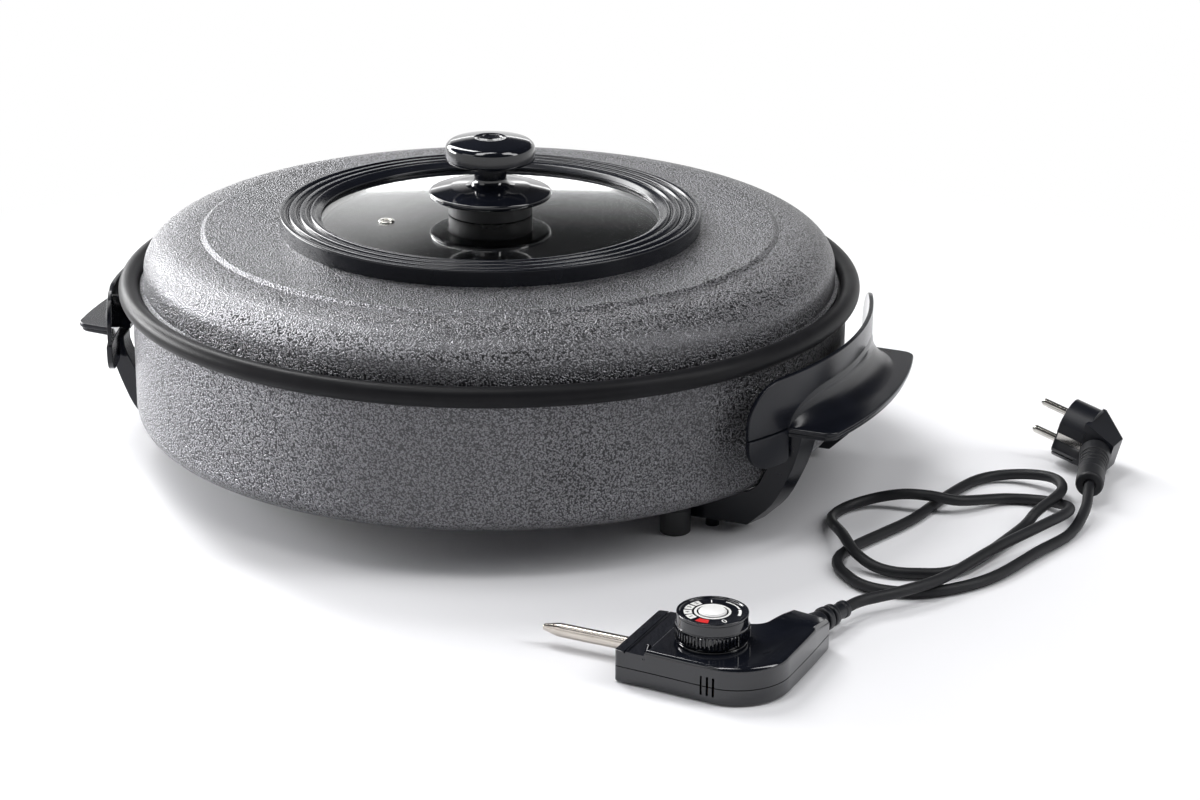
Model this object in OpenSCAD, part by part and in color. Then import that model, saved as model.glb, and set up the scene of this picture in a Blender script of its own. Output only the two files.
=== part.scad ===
// Electric pan with a lift-off lid and a plug-in thermostat control.
// Millimetres. Origin on the table under the pan's centre, X through the two handles, Z up.

/* [Pan] */
// Outside radius of the rim roll
rim_r = 225; // [190:1:260]
// Radius of the rim roll's section
bead_r = 6; // [5:0.5:7]
// How far the rim roll stands out past the wall
rim_overhang = 8; // [6:0.5:9]
// Height from the pan's underside to the middle of the rim roll
pan_h = 83; // [70:1:110]
// Thickness of the wall
wall_t = 6.5; // [5.5:0.5:8]
// Thickness of the floor
floor_t = 6; // [5.5:0.5:9]
// Outer radius between wall and underside
corner_r = 12; // [8:1:16]
// Inner radius between wall and floor
inner_corner_r = 10; // [4:1:14]
// Height of the pan's underside above the table
foot_h = 27; // [24:1:40]
// Radius of a foot
foot_r = 9; // [8:0.5:11]
// Distance from the centre to a foot, along X
foot_x = 156; // [130:1:165]
// Distance from the centre to a foot, along Y
foot_y = 87; // [86:1:110]

/* [Lid] */
// Thickness of the lid's sheet
lid_t = 1.6; // [1.2:0.1:2.5]
// Clearance between the lid's edge and the rim roll
lid_clear = 0.8; // [0.5:0.1:1.5]
// Width of the lid's flat edge
lid_lip = 2.6; // [2.4:0.1:4]
// Height of the lid's upright wall
lid_wall_h = 12; // [8:1:20]
// Width of the rounded shoulder
shoulder_w = 36; // [25:1:50]
// Height of the rounded shoulder
shoulder_h = 21; // [14:1:30]
// Height of the pressed step inside the shoulder
step_h = 0.8; // [0.4:0.1:1.5]

/* [Window and knob] */
// Outside radius of the window's ring
ring_r = 127.6; // [115:0.1:135]
// Height of the window's ring
ring_h = 10; // [8:0.5:14]
// Radius of the opening that the ring leaves over the glass
ring_in_r = 102.4; // [90:0.1:106]
// Thickness of the glass
glass_t = 3; // [3:0.5:5]
// How much higher the glass is at its middle than at its edge
glass_rise = 1.3; // [0:0.1:3]
// Radius of the knob's cap
knob_r = 27; // [20:0.5:35]
// Height of the knob's cap
knob_h = 15.5; // [12:0.5:22]
// Radius of the knob's neck
neck_r = 9.8; // [7:0.1:13]
// Length of the knob's neck
neck_h = 15; // [10:0.5:22]
// Radius of the finger guard's disc
guard_r = 37.2; // [30:0.1:45]
// Thickness of the finger guard's disc
guard_t = 7; // [5:0.5:9]
// Radius of the finger guard's skirt
skirt_r = 25.5; // [18:0.5:30]
// Height of the finger guard's skirt
skirt_h = 14; // [8:0.5:20]
// Place of the steam vent along X
vent_x = -50; // [-80:1:-45]
// Place of the steam vent along Y
vent_y = -41; // [-60:1:40]

/* [Handles] */
// Air gap between the pan's wall and the heat shield
shield_gap = 14; // [10:1:20]
// Thickness of the heat shield
shield_t = 3.5; // [2.5:0.5:5]
// Half the width of the heat shield
shield_half_w = 107; // [98:1:115]
// Radius of the heat shield's upper corners
shield_corner_r = 24; // [10:1:28]
// Drop from the rim roll's middle to the heat shield's top
shield_drop = 8.5; // [4:0.5:15]
// Height of the grip's top above the pan's underside
grip_rise = 43.4; // [38:0.1:50]
// Thickness of the grip
grip_t = 5.4; // [5:0.1:8]
// Half the width of the grip
grip_half_w = 79; // [77:1:90]
// How far the grip stands out from the heat shield
grip_reach = 23.5; // [18:0.5:32]
// Radius of the hollow between grip and heat shield
fillet_r = 15; // [8:1:16]
// Distance from the X axis to a leg's near side
leg_y = 60; // [56:1:61]
// Thickness of a leg
leg_t = 16; // [12:1:16]
// Height of a leg's underside above the table
leg_z = 6; // [4:0.5:9]

/* [Inlet under the pan] */
// Radius of the heating element's ring
element_ring_r = 140; // [120:1:145]
// Radius of the heating element's tube
element_r = 3.5; // [3:0.25:4]
// Height of the inlet's axis above the table
inlet_z = 16; // [15:0.5:17]
// Distance from the axis to a terminal pin
pin_y = 15; // [13:0.5:18]
// Radius of a terminal pin
pin_r = 2.5; // [2:0.1:2.8]

/* [Control] */
// Place of the dial's axis along X
control_x = 244.5; // [240:0.5:260]
// Place of the dial's axis along Y
control_y = -265; // [-275:1:-262]
// Turn of the control about its dial's axis
control_turn = -3; // [-4:1:-1]
// Wall thickness of the control's two shells
case_t = 2; // [1.6:0.1:2.4]
// Height of the joint between the two shells, and of the probe's axis
seam_z = 9.5; // [9:0.5:11]
// Height of the control's top
case_h = 21.5; // [20:0.5:24]
// Radius of the temperature probe
probe_r = 3.8; // [3.4:0.1:4]
// Distance from the dial's axis to the probe's tip
probe_reach = 97; // [80:1:110]
// Radius of the dial's top
dial_r = 18.8; // [16:0.1:21]
// Radius of the dial's ribbed skirt
dial_skirt_r = 19.9; // [17:0.1:22]
// Height of the dial above the case
dial_h = 15; // [12:0.5:18]
// Number of ribs round the dial
dial_ribs = 60; // [30:6:72]
// Radius of the hollow spindle
spindle_r = 5; // [4.4:0.1:6]
// Running clearance of the spindle in its hole
spindle_clear = 0.08; // [0.03:0.01:0.1]

/* [Cord and plug] */
// Diameter of the cord
cord_d = 6.4; // [6:0.1:7]
// Diameter of a plug pin
plug_pin_d = 4.8; // [4:0.1:4.8]
// Length of a plug pin
plug_pin_len = 19; // [16:0.5:19]
// Distance between the plug's pins
plug_pitch = 19; // [17:0.5:19]
// Radius of the plug's face
plug_r = 18.7; // [17:0.1:18.9]

/* [Hidden] */
$fn = 96;

// Heights and radii that follow from the sizes above
pan_r = rim_r - rim_overhang;
inner_r = pan_r - wall_t;
bead_c = rim_r - bead_r;
z_pan = foot_h;
z_rim = z_pan + pan_h;
z_seat = z_rim + 0.4;
lid_r = rim_r - 2 * bead_r - lid_clear;
lid_wall_r = lid_r - lid_lip;
z_lid = z_seat + lid_wall_h + shoulder_h;
step_r = lid_wall_r - shoulder_w;
glass_r = ring_in_r + 3.6;
glass_fit = 0.3;
hole_r = glass_r + 2;
z_glass_edge = z_lid + 2;
z_glass = z_glass_edge + glass_rise;
z_guard = z_glass + skirt_h;
z_neck = z_guard + guard_t;
z_cap = z_neck + neck_h;
z_top = z_cap + knob_h;
shield_in = pan_r + shield_gap;
shield_out = shield_in + shield_t;
z_shield = z_rim - shield_drop;
z_grip = z_pan + grip_rise;
z_part = z_grip - 0.4;
plate_z = z_part - 5;
screw_r = 2;
screw_fit = 0.1;
leg_screw_x = 172;
leg_screw_y = leg_y + leg_t / 2;
plate_in = shield_in - 7;
handle_screw_r = plate_in + 3.5;
handle_screw_a = 12;
z_element = z_pan - element_r - 0.2;
blade = 1;
clip_angles = [45, 135, 225, 315];
well_r = probe_r + 0.3;
well_wall = 1.7;
inlet_x0 = 166;
inlet_x1 = 194;
case_left = -43;
case_back = 29;
nose_r = 30.5;
nose_u = 13;
arm_u = 42.5;
arm_in_u = 17;
arm_v = 67;
arm_end_v = 60.5;
relief_from = [29.5, 63];
relief_turn = -15.5;
relief_len = 31;
dial_z = case_h + 1;
z_dial = case_h + dial_h + 1.5;
dial_step = dial_z + 8;

function arc(x, y, r, a0, a1, n) =
    [for (i = [0:n]) let (a = a0 + (a1 - a0) * i / n) [x + r * cos(a), y + r * sin(a)]];
function shift(p, d) = [for (q = p) q + d];

// Places of parts that repeat
function foot_place(i) = [i % 2 == 0 ? -foot_x : foot_x, i < 2 ? -foot_y : foot_y, 0];
leg_places = [for (s = [-1, 1], t = [-1, 1]) [s * leg_screw_x, t * leg_screw_y, 0]];

// A closed outline moved inwards by d, each corner along its own mitre
function unit(v) = v / norm(v);
function inward(a, b) = let (t = unit(b - a)) [-t.y, t.x];
function inset(p, d) = let (n = len(p)) [for (i = [0:n - 1])
    let (m = inward(p[(i + n - 1) % n], p[i]), k = inward(p[i], p[(i + 1) % n]))
    p[i] + (m + k) * d / (1 + m * k)];

// Tube swept along points: sides round the section, flat ends
function tangent(p, i) = let (n = len(p)) unit(p[min(i + 1, n - 1)] - p[max(i - 1, 0)]);
function ring(p, i, r, sides) = let (t = tangent(p, i), s = unit(cross(t, [0, 0, 1])), u = cross(s, t))
    [for (k = [0:sides - 1]) p[i] + r * (s * cos(360 * k / sides) + u * sin(360 * k / sides))];
module tube(p, r, sides) {
    n = len(p);
    skin = [for (i = [0:n - 1]) each ring(p, i, r, sides)];
    walls = [for (i = [0:n - 2], k = [0:sides - 1]) let (a = i * sides + k, b = i * sides + (k + 1) % sides)
        each [[a, a + sides, b], [b, a + sides, b + sides]]];
    start = [[for (k = [0:sides - 1]) k]];
    end = [[for (k = [sides - 1:-1:0]) (n - 1) * sides + k]];
    polyhedron(skin, concat(walls, start, end), convexity = 10);
}

// Smooth curve through points, m steps between each two
function catmull(a, b, c, d, t) = 0.5 * (2 * b + (c - a) * t + (2 * a - 5 * b + 4 * c - d) * t * t
    + (3 * b - a - 3 * c + d) * t * t * t);
function smooth_path(p, m) = let (n = len(p)) concat([for (i = [0:n - 2], j = [0:m - 1])
    catmull(p[max(i - 1, 0)], p[i], p[i + 1], p[min(i + 2, n - 1)], j / m)], [p[n - 1]]);

// Half section of a dish: underside at z0, open top at z1, rounded at the bottom corner
module dish(r, z0, z1, c) {
    translate([0, z0]) square([r - c, z1 - z0]);
    translate([0, z0 + c]) square([r, z1 - z0 - c]);
    translate([r - c, z0 + c]) circle(c);
}

module rod(r, z0, z1) translate([0, 0, z0]) cylinder(r = r, h = z1 - z0);
module disc_at(x, y, r, z0, z1) translate([x, y, 0]) rod(r, z0, z1);
module rod_x(r, x0, x1) translate([x0, 0, 0]) rotate([0, 90, 0]) cylinder(r = r, h = x1 - x0);
module both_sides() {
    children();
    mirror([0, 1, 0]) children();
}
module box(x0, x1, y0, y1, z0, z1) translate([x0, y0, z0]) cube([x1 - x0, y1 - y0, z1 - z0]);
// Pan head screw, head down, from z0 up to z1
module screw(r, z0, z1) {
    rod(r, z0, z1);
    difference() {
        rod(2 * r, z0, z0 + 1.2 * r);
        box(-2.2 * r, 2.2 * r, -0.25 * r, 0.25 * r, z0 - 1, z0 + 0.5 * r);
        box(-0.25 * r, 0.25 * r, -2.2 * r, 2.2 * r, z0 - 1, z0 + 0.5 * r);
    }
}

// ---------------------------------------------------------------- pan and underside
module at_inlet() rotate(180) children();
module pan() color([0.36, 0.36, 0.38]) difference() {
    union() {
        rotate_extrude($fn = 180) difference() {
            dish(pan_r, z_pan, z_seat, corner_r);
            dish(inner_r, z_pan + floor_t, z_seat + 1, inner_corner_r);
        }
        rotate_extrude($fn = 180) translate([bead_c, z_rim]) circle(bead_r, $fn = 48);
    }
    for (i = [0:3]) translate(foot_place(i)) rod(screw_r + screw_fit, z_pan - 1, z_pan + 4.5);
    for (p = leg_places) translate(p) rod(screw_r + screw_fit, z_pan - 1, z_pan + 4.5);
    for (a = clip_angles) rotate(a) for (d = [-12, 12]) disc_at(element_ring_r + d, 0, 1.5 + screw_fit, z_pan - 1, z_pan + 4);
    at_inlet() both_sides() disc_at(inlet_x0 + 8, pin_y + 13, 1.5 + screw_fit, z_pan - 1, z_pan + 4);
}

element_gap = asin((pin_y + 10) / (element_ring_r + 10));
element_turn = 360 - 2 * element_gap;
element_lead = [[element_ring_r + 10.5, pin_y + 0.8, z_element - 2.5], [element_ring_r + 16, pin_y, (z_element + inlet_z) / 2],
    [element_ring_r + 21, pin_y, inlet_z + 0.3], [inlet_x0 - 0.6, pin_y, inlet_z]];
function mirror_y(p) = [for (q = p) [q.x, -q.y, q.z]];
function reverse(p) = [for (i = [len(p) - 1:-1:0]) p[i]];
function flat_arc(r, a0, a1, z, n) = [for (i = [0:n]) let (a = a0 + (a1 - a0) * i / n) [r * cos(a), r * sin(a), z]];
module heating_element() color([0.45, 0.43, 0.42]) at_inlet()
    tube(concat(reverse(smooth_path(element_lead, 2)), flat_arc(element_ring_r, element_gap, 360 - element_gap, z_element, 54),
        mirror_y(smooth_path(element_lead, 2))), element_r, 12);

clip_z = z_element - element_r - 0.2;
module element_clips() color([0.62, 0.62, 0.64]) for (a = clip_angles) rotate(a) difference() {
    box(element_ring_r - 16, element_ring_r + 16, -6, 6, clip_z - blade, z_pan);
    box(element_ring_r - 7, element_ring_r + 7, -7, 7, clip_z, z_pan + 1);
    box(element_ring_r - 17, element_ring_r - 8, -7, 7, clip_z - 2, z_pan - blade);
    box(element_ring_r + 8, element_ring_r + 17, -7, 7, clip_z - 2, z_pan - blade);
    for (d = [-12, 12]) disc_at(element_ring_r + d, 0, 1.5 + screw_fit, z_pan - 2, z_pan + 1);
}
module clip_screws() color([0.7, 0.7, 0.72]) for (a = clip_angles, d = [-12, 12])
    rotate(a) translate([element_ring_r + d, 0, 0]) screw(1.5, z_pan - blade - 1.8, z_pan + 3.5);

module terminal_pins() color([0.8, 0.79, 0.76]) at_inlet() both_sides() translate([0, pin_y, inlet_z]) {
    rod_x(pin_r + 0.5, inlet_x0 - 0.3, inlet_x0 + 7);
    rod_x(pin_r, inlet_x0 + 7, inlet_x1 + 1);
    translate([inlet_x1 + 1, 0, 0]) sphere(pin_r, $fn = 32);
}
inlet_half_w = pin_y + 9;
module inlet_housing() color([0.1, 0.1, 0.1]) at_inlet() difference() {
    union() {
        box(inlet_x0, inlet_x1, -inlet_half_w, inlet_half_w, inlet_z - 8, inlet_z + 8);
        both_sides() box(inlet_x0, inlet_x0 + 16, inlet_half_w - 10, inlet_half_w + 9, z_pan - 4, z_pan);
        both_sides() box(inlet_x0, inlet_x0 + 16, inlet_half_w - 10, inlet_half_w, inlet_z + 7, z_pan);
    }
    box(inlet_x0 + 5, inlet_x1 + 1, -inlet_half_w + 2, inlet_half_w - 2, inlet_z - 6, inlet_z + 6);
    both_sides() translate([0, pin_y, inlet_z]) rod_x(pin_r + 0.5 + screw_fit, inlet_x0 - 1, inlet_x0 + 6);
    translate([0, 0, inlet_z]) rod_x(well_r + well_wall + screw_fit, inlet_x0 - 1, inlet_x0 + 6);
    both_sides() disc_at(inlet_x0 + 8, pin_y + 13, 1.5 + screw_fit, z_pan - 5, z_pan + 1);
    box(inlet_x0 - 1, inlet_x0 + 6, -7.2, -6.2, inlet_z - 5, inlet_z + 5);
}
module inlet_screws() color([0.7, 0.7, 0.72]) at_inlet() both_sides()
    translate([inlet_x0 + 8, pin_y + 13, 0]) screw(1.5, z_pan - 5.8, z_pan + 3.5);
module earth_blade() color([0.8, 0.68, 0.35]) at_inlet() difference() {
    union() {
        box(inlet_x0 - 12, inlet_x0 + 20, -7.1, -6.3, inlet_z - 4.5, inlet_z + 4.5);
        box(inlet_x0 - 12, inlet_x0 - 4, -7.1, -6.3, inlet_z, z_pan);
        box(inlet_x0 - 12, inlet_x0 - 4, -15, -6.3, z_pan - 0.8, z_pan);
    }
    translate([0, 0, inlet_z]) rod_x(well_r + well_wall + screw_fit, inlet_x0 - 20, inlet_x0 + 2);
}
well_x0 = inlet_x0 - 42;
module probe_well() color([0.72, 0.72, 0.74]) at_inlet() difference() {
    union() {
        translate([0, 0, inlet_z]) rod_x(well_r + well_wall, well_x0, inlet_x0 + 7);
        box(well_x0 + 4, well_x0 + 30, -5, 5, inlet_z + 2, z_pan);
    }
    translate([0, 0, inlet_z]) rod_x(well_r, well_x0 + 2, inlet_x0 + 8);
}

module foot(i) color([0.07, 0.07, 0.07]) translate(foot_place(i)) difference() {
    union() {
        rod(foot_r, 0, 15);
        rod(foot_r - 0.5, 15, z_pan);
    }
    rod(screw_r + screw_fit, 16, z_pan + 1);
}
module foot_front_left() foot(0);
module foot_front_right() foot(1);
module foot_rear_left() foot(2);
module foot_rear_right() foot(3);
module foot_studs() color([0.7, 0.7, 0.72]) for (i = [0:3]) translate(foot_place(i)) rod(screw_r, 16, z_pan + 4);

// ---------------------------------------------------------------- handles
// Outline of the heat shield as seen along X: y across, z up
module shield_face(z0, bottom_r) {
    w = shield_half_w;
    c = shield_corner_r;
    polygon(concat(
        arc(w - c, z_shield - c, c, 0, 90, 12), arc(-w + c, z_shield - c, c, 90, 180, 12),
        [[-w, z0 + bottom_r]], arc(-w + bottom_r, z0 + bottom_r, bottom_r, 180, 270, 6),
        arc(w - bottom_r, z0 + bottom_r, bottom_r, 270, 360, 6)));
}
module along_x(x0, x1) translate([x0, 0, 0]) rotate([90, 0, 90]) linear_extrude(x1 - x0) children();
module sector(half_a) rotate([0, 0, -half_a]) rotate_extrude(angle = 2 * half_a, $fn = 180) children();

grip_bow_r = 440;
module grip_outline() {
    x1 = shield_out + grip_reach;
    a = asin((grip_half_w - 12) / (grip_bow_r - 12));
    polygon(concat([[shield_in + 1, -grip_half_w]],
        arc(x1 - grip_bow_r + (grip_bow_r - 12) * cos(a), -grip_half_w + 12, 12, -90, -a, 6),
        arc(x1 - grip_bow_r, 0, grip_bow_r, -a, a, 10),
        arc(x1 - grip_bow_r + (grip_bow_r - 12) * cos(a), grip_half_w - 12, 12, a, 90, 6),
        [[shield_in + 1, grip_half_w]]));
}
module handle(side) color([0.05, 0.05, 0.06]) rotate(side > 0 ? 0 : 180) difference() {
    union() {
        intersection() {
            sector(32) translate([shield_in, z_part - 5]) square([shield_t, z_shield - z_part + 6]);
            along_x(pan_r / 2, pan_r + 60) shield_face(z_part - 30, 1);
            union() {
                box(0, pan_r + 60, -shield_half_w - 1, shield_half_w + 1, z_part, z_shield + 1);
                box(0, pan_r + 60, -grip_half_w, grip_half_w, z_grip - grip_t, z_part + 1);
            }
        }
        difference() {
            translate([0, 0, z_grip - grip_t]) linear_extrude(grip_t) grip_outline();
            rod(shield_in + 0.5, z_grip - grip_t - 1, z_grip + 1, $fn = 180);
        }
        intersection() {
            sector(32) difference() {
                translate([shield_out - 1, z_grip - 1]) square([fillet_r + 1, fillet_r + 1]);
                translate([shield_out + fillet_r, z_grip + fillet_r]) circle(fillet_r);
            }
            box(0, pan_r + 60, -grip_half_w, grip_half_w, z_grip - 2, z_shield);
        }
        sector(20) translate([plate_in, z_part]) square([shield_in - plate_in + 0.5, 3]);
        for (a = [-handle_screw_a, handle_screw_a]) rotate(a) disc_at(handle_screw_r, 0, 3.4, z_part, z_part + 12);
    }
    for (a = [-handle_screw_a, handle_screw_a]) rotate(a) disc_at(handle_screw_r, 0, 1.5 + screw_fit, z_part - 1, z_part + 9);
}
module handle_left() handle(-1);
module handle_right() handle(1);

// Section of a leg: r outwards from the pan's axis, z up
module leg_section() difference() {
    polygon([[pan_r + 23, plate_z], [pan_r + 20, z_pan + 24], [pan_r + 15.5, z_pan + 11], [pan_r + 10.5, z_pan],
        [pan_r + 4, leg_z + 12], [pan_r - 7, leg_z], [pan_r - 62, leg_z], [pan_r - 62, z_pan], [pan_r - 8, z_pan + 4],
        [pan_r + 2.5, z_pan + 9], [pan_r + 9, z_pan + 18], [pan_r + 12, z_pan + 26], [pan_r + 11.5, plate_z]]);
    dish(pan_r + 1, z_pan, z_rim, corner_r + 1);
}
module bracket(side) color([0.05, 0.05, 0.06]) rotate(side > 0 ? 0 : 180) difference() {
    union() {
        intersection() {
            sector(40) leg_section();
            union() {
                both_sides() box(pan_r - 90, pan_r + 60, leg_y, leg_y + leg_t, 0, z_rim);
                box(pan_r - 90, pan_r + 60, -leg_y - 1, leg_y + 1, z_pan + 22.7, z_rim);
            }
        }
        intersection() {
            sector(32) translate([plate_in, plate_z - 1]) square([shield_in - 0.2 - plate_in, z_part - plate_z + 1]);
            box(0, pan_r + 60, -shield_half_w + 2, shield_half_w - 2, 0, z_rim);
        }
        intersection() {
            sector(32) translate([shield_in, z_part - 20]) square([shield_t, 20]);
            along_x(pan_r / 2, pan_r + 60) shield_face(z_part - 19.5, 15);
            both_sides() box(0, pan_r + 60, grip_half_w + 7, shield_half_w + 1, 0, z_part);
        }
        intersection() {
            sector(32) translate([shield_in - 1, z_part - 6]) square([2, 5.9]);
            both_sides() box(0, pan_r + 60, grip_half_w + 7, shield_half_w - 2, 0, z_part);
        }
    }
    both_sides() disc_at(leg_screw_x, leg_screw_y, screw_r + screw_fit, 0, z_rim);
    both_sides() disc_at(leg_screw_x, leg_screw_y, 2 * screw_r + 0.4, 0, z_pan - 9);
    for (a = [-handle_screw_a, handle_screw_a]) rotate(a) {
        disc_at(handle_screw_r, 0, 1.5 + screw_fit, plate_z - 2, z_rim);
        disc_at(handle_screw_r, 0, 3.4, z_pan, plate_z);
    }
}
module bracket_left() bracket(-1);
module bracket_right() bracket(1);
module handle_screws() color([0.7, 0.7, 0.72]) for (h = [0, 180], a = [-handle_screw_a, handle_screw_a])
    rotate(h + a) translate([handle_screw_r, 0, 0]) screw(1.5, plate_z - 1.8, z_part + 8);
module bracket_screws() color([0.7, 0.7, 0.72]) for (p = leg_places) translate(p)
    screw(screw_r, z_pan - 9 - 1.2 * screw_r, z_pan + 4);

// ---------------------------------------------------------------- lid
function shoulder(r_in, n, d) = [for (i = [0:n]) let (a = 90 * i / n)
    [step_r + (shoulder_w - d) * cos(a), z_lid - shoulder_h + (shoulder_h - d) * sin(a)]];
module lid_shell() color([0.36, 0.36, 0.38]) difference() {
    rotate_extrude($fn = 180) polygon(concat([[lid_wall_r - lid_t, z_seat], [lid_r, z_seat], [lid_r, z_seat + lid_t], [lid_wall_r, z_seat + lid_t]],
        shoulder(step_r, 14, 0), [[step_r - 1, z_lid], [step_r - 1.5, z_lid + step_h], [step_r - 3, z_lid + step_h],
        [ring_r + 8, z_lid], [hole_r, z_lid], [hole_r, z_lid - lid_t], [ring_r + 8, z_lid - lid_t],
        [step_r - 3, z_lid + step_h - lid_t]], reverse(shoulder(step_r, 14, lid_t))));
    for (i = [0:5]) rotate(30 + 60 * i) disc_at(hole_r + 7, 0, 1.5 + screw_fit, z_lid - 5, z_lid + 5);
}
// Ring section: four crests with shallow grooves between, sloping down to the glass
module window_ring() color([0.04, 0.04, 0.06]) difference() {
    rotate_extrude($fn = 180) difference() {
        z1 = z_lid + ring_h;
        polygon([[glass_r + glass_fit, z_lid], [ring_r, z_lid], [ring_r, z1 - 1.5], [ring_r - 1.5, z1],
            [ring_in_r + 5, z1 - 0.5], [ring_in_r, z_glass_edge + 1.2], [ring_in_r, z_glass_edge + 0.2],
            [glass_r + glass_fit, z_glass_edge + 0.2]]);
        for (r = [ring_in_r + 8, ring_in_r + 14.2, ring_in_r + 21]) translate([r, z1 + 5]) circle(6.2, $fn = 32);
    }
    for (i = [0:5]) rotate(30 + 60 * i) disc_at(hole_r + 7, 0, 1.5 + screw_fit, z_lid - 1, z_lid + 5);
}
module window_retainer() color([0.06, 0.06, 0.07]) difference() {
    z0 = z_lid - lid_t - 3;
    rotate_extrude($fn = 180) polygon([[ring_in_r - 1, z0], [hole_r + 12, z0], [hole_r + 12, z_lid - lid_t],
        [hole_r + 1, z_lid - lid_t], [hole_r + 1, z_gasket], [ring_in_r - 1, z_gasket]]);
    for (i = [0:5]) rotate(30 + 60 * i) disc_at(hole_r + 7, 0, 1.5 + screw_fit, z0 - 1, z_lid);
}
z_gasket = z_glass_edge - glass_t - 1.4;
module retainer_screws() color([0.7, 0.7, 0.72]) for (i = [0:5]) rotate(30 + 60 * i)
    translate([hole_r + 7, 0, 0]) screw(1.5, z_lid - lid_t - 4.8, z_lid + 4);
module window_gasket() color([0.85, 0.85, 0.83]) rotate_extrude($fn = 180) polygon([
    [ring_in_r, z_gasket], [glass_r + glass_fit, z_gasket], [glass_r + glass_fit, z_glass_edge - glass_t], [ring_in_r, z_glass_edge - glass_t]]);
function glass_z(r) = z_glass_edge + glass_rise * (1 - pow(r / ring_in_r, 2));
module window_glass() color([0.3, 0.32, 0.33, 0.5]) difference() {
    rotate_extrude($fn = 180) polygon(concat([for (i = [0:8]) let (r = ring_in_r * i / 8) [r, glass_z(r)]],
        [[glass_r, z_glass_edge], [glass_r, z_glass_edge - glass_t]],
        [for (i = [8:-1:0]) let (r = ring_in_r * i / 8) [r, glass_z(r) - glass_t]]));
    rod(3.2, z_glass - 20, z_glass + 5);
    disc_at(vent_x, vent_y, 3.4, z_glass - 20, z_glass + 5);
}
vent_top = glass_z(norm([vent_x, vent_y]));
module vent_eyelet() color([0.8, 0.8, 0.82]) translate([vent_x, vent_y, 0]) difference() {
    union() {
        rod(3.3, vent_top - glass_t - 1, vent_top + 0.5);
        rod(5, vent_top + 0.1, vent_top + 1);
        rod(4.6, vent_top - glass_t - 1, vent_top - glass_t - 0.2);
    }
    rod(2.2, vent_top - 10, vent_top + 5);
}

module knob_grip() color([0.04, 0.04, 0.06]) difference() {
    union() {
        rotate_extrude() {
            translate([0, z_cap]) square([knob_r - 2, knob_h]);
            translate([0, z_cap + 2]) square([knob_r, knob_h - 8]);
            translate([knob_r - 2, z_cap + 2]) circle(2, $fn = 32);
            translate([0, z_cap + knob_h - 7]) square([knob_r - 6, 7]);
            translate([knob_r - 6, z_cap + knob_h - 6]) circle(6, $fn = 48);
        }
        rod(neck_r, z_neck, z_cap + 2);
        rod(neck_r + 3, z_neck, z_neck + 2);
    }
    rod(7.3, z_top - 2.5, z_top + 1);
    rod(2.6, z_neck - 1, z_neck + 12);
}
module knob_cap_plug() color([0.05, 0.05, 0.07]) rod(7.1, z_top - 2.5, z_top - 1.6);
module knob_guard() color([0.04, 0.04, 0.06]) difference() {
    union() {
        rotate_extrude() {
            translate([0, z_guard]) square([guard_r - 2.5, 5]);
            translate([guard_r - 2.5, z_guard + 2.5]) circle(2.5, $fn = 32);
            polygon([[0, z_guard + 4], [guard_r - 2.5, z_guard + 4], [guard_r - 2.5, z_guard + 5],
                [guard_r - 14, z_guard + guard_t - 0.6], [neck_r + 4, z_neck], [0, z_neck]]);
        }
        rod(skirt_r, z_glass, z_guard + 1);
    }
    rod(skirt_r - 3, z_glass - 1, z_guard + 1);
    rod(2.7, z_guard - 1, z_neck + 1);
}
knob_head_z = z_glass - glass_t - 6;
module knob_washer() color([0.85, 0.85, 0.83]) difference() {
    rod(10, z_glass - glass_t - 1.7, z_glass - glass_t - 0.1);
    rod(2.7, z_glass - 20, z_glass);
}
module knob_screw() color([0.75, 0.75, 0.77]) screw(2.5, z_glass - glass_t - 1.7 - 3, z_neck + 11);

// ---------------------------------------------------------------- control
module at_control() translate([control_x, control_y, 0]) rotate(control_turn) children();
// Plan of the case, anticlockwise from the front left corner
case_plan = concat([[case_left, -27.5], [case_left + 18, -28.2], [1, -29.8]], arc(nose_u, 0, nose_r, -85, 0, 9),
    [[arm_u + 1, 30], [arm_u, arm_end_v]], [[arm_in_u + 1, arm_v], [arm_in_u - 0.5, arm_v - 14]],
    arc(arm_in_u - 9.5, case_back + 9, 9, 0, -90, 6), [[case_left, case_back]]);
probe_u = case_left + 4;
socket_v = pin_y;
module case_holes() {
    translate([0, 0, seam_z]) rod_x(probe_r + 2 + screw_fit, case_left - 1, probe_u + 8);
    both_sides() translate([0, socket_v, seam_z]) rod_x(3.4, case_left - 1, case_left + case_t + 1);
    translate([relief_from.x, relief_from.y, seam_z]) rotate([0, 0, 90 + relief_turn]) rod_x(4.6, -12, 12);
    for (i = [0:2]) translate([7 + 3.4 * i, -nose_r, 0]) box(-0.6, 0.6, -6, 4.5, 4.5, 15);
}
screw_posts = [[-36, -22.8], [-36, 23.4], [33, 18]];
module control_base() color([0.05, 0.05, 0.06]) at_control() difference() {
    union() {
        difference() {
            linear_extrude(seam_z) polygon(case_plan);
            translate([0, 0, case_t]) linear_extrude(seam_z) polygon(inset(case_plan, case_t));
        }
        for (p = screw_posts) disc_at(p.x, p.y, 4.2, 1, seam_z);
    }
    case_holes();
    for (p = screw_posts) {
        disc_at(p.x, p.y, 1.5 + screw_fit, -1, seam_z + 1);
        disc_at(p.x, p.y, 3.2, -1, 3);
    }
}
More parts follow.
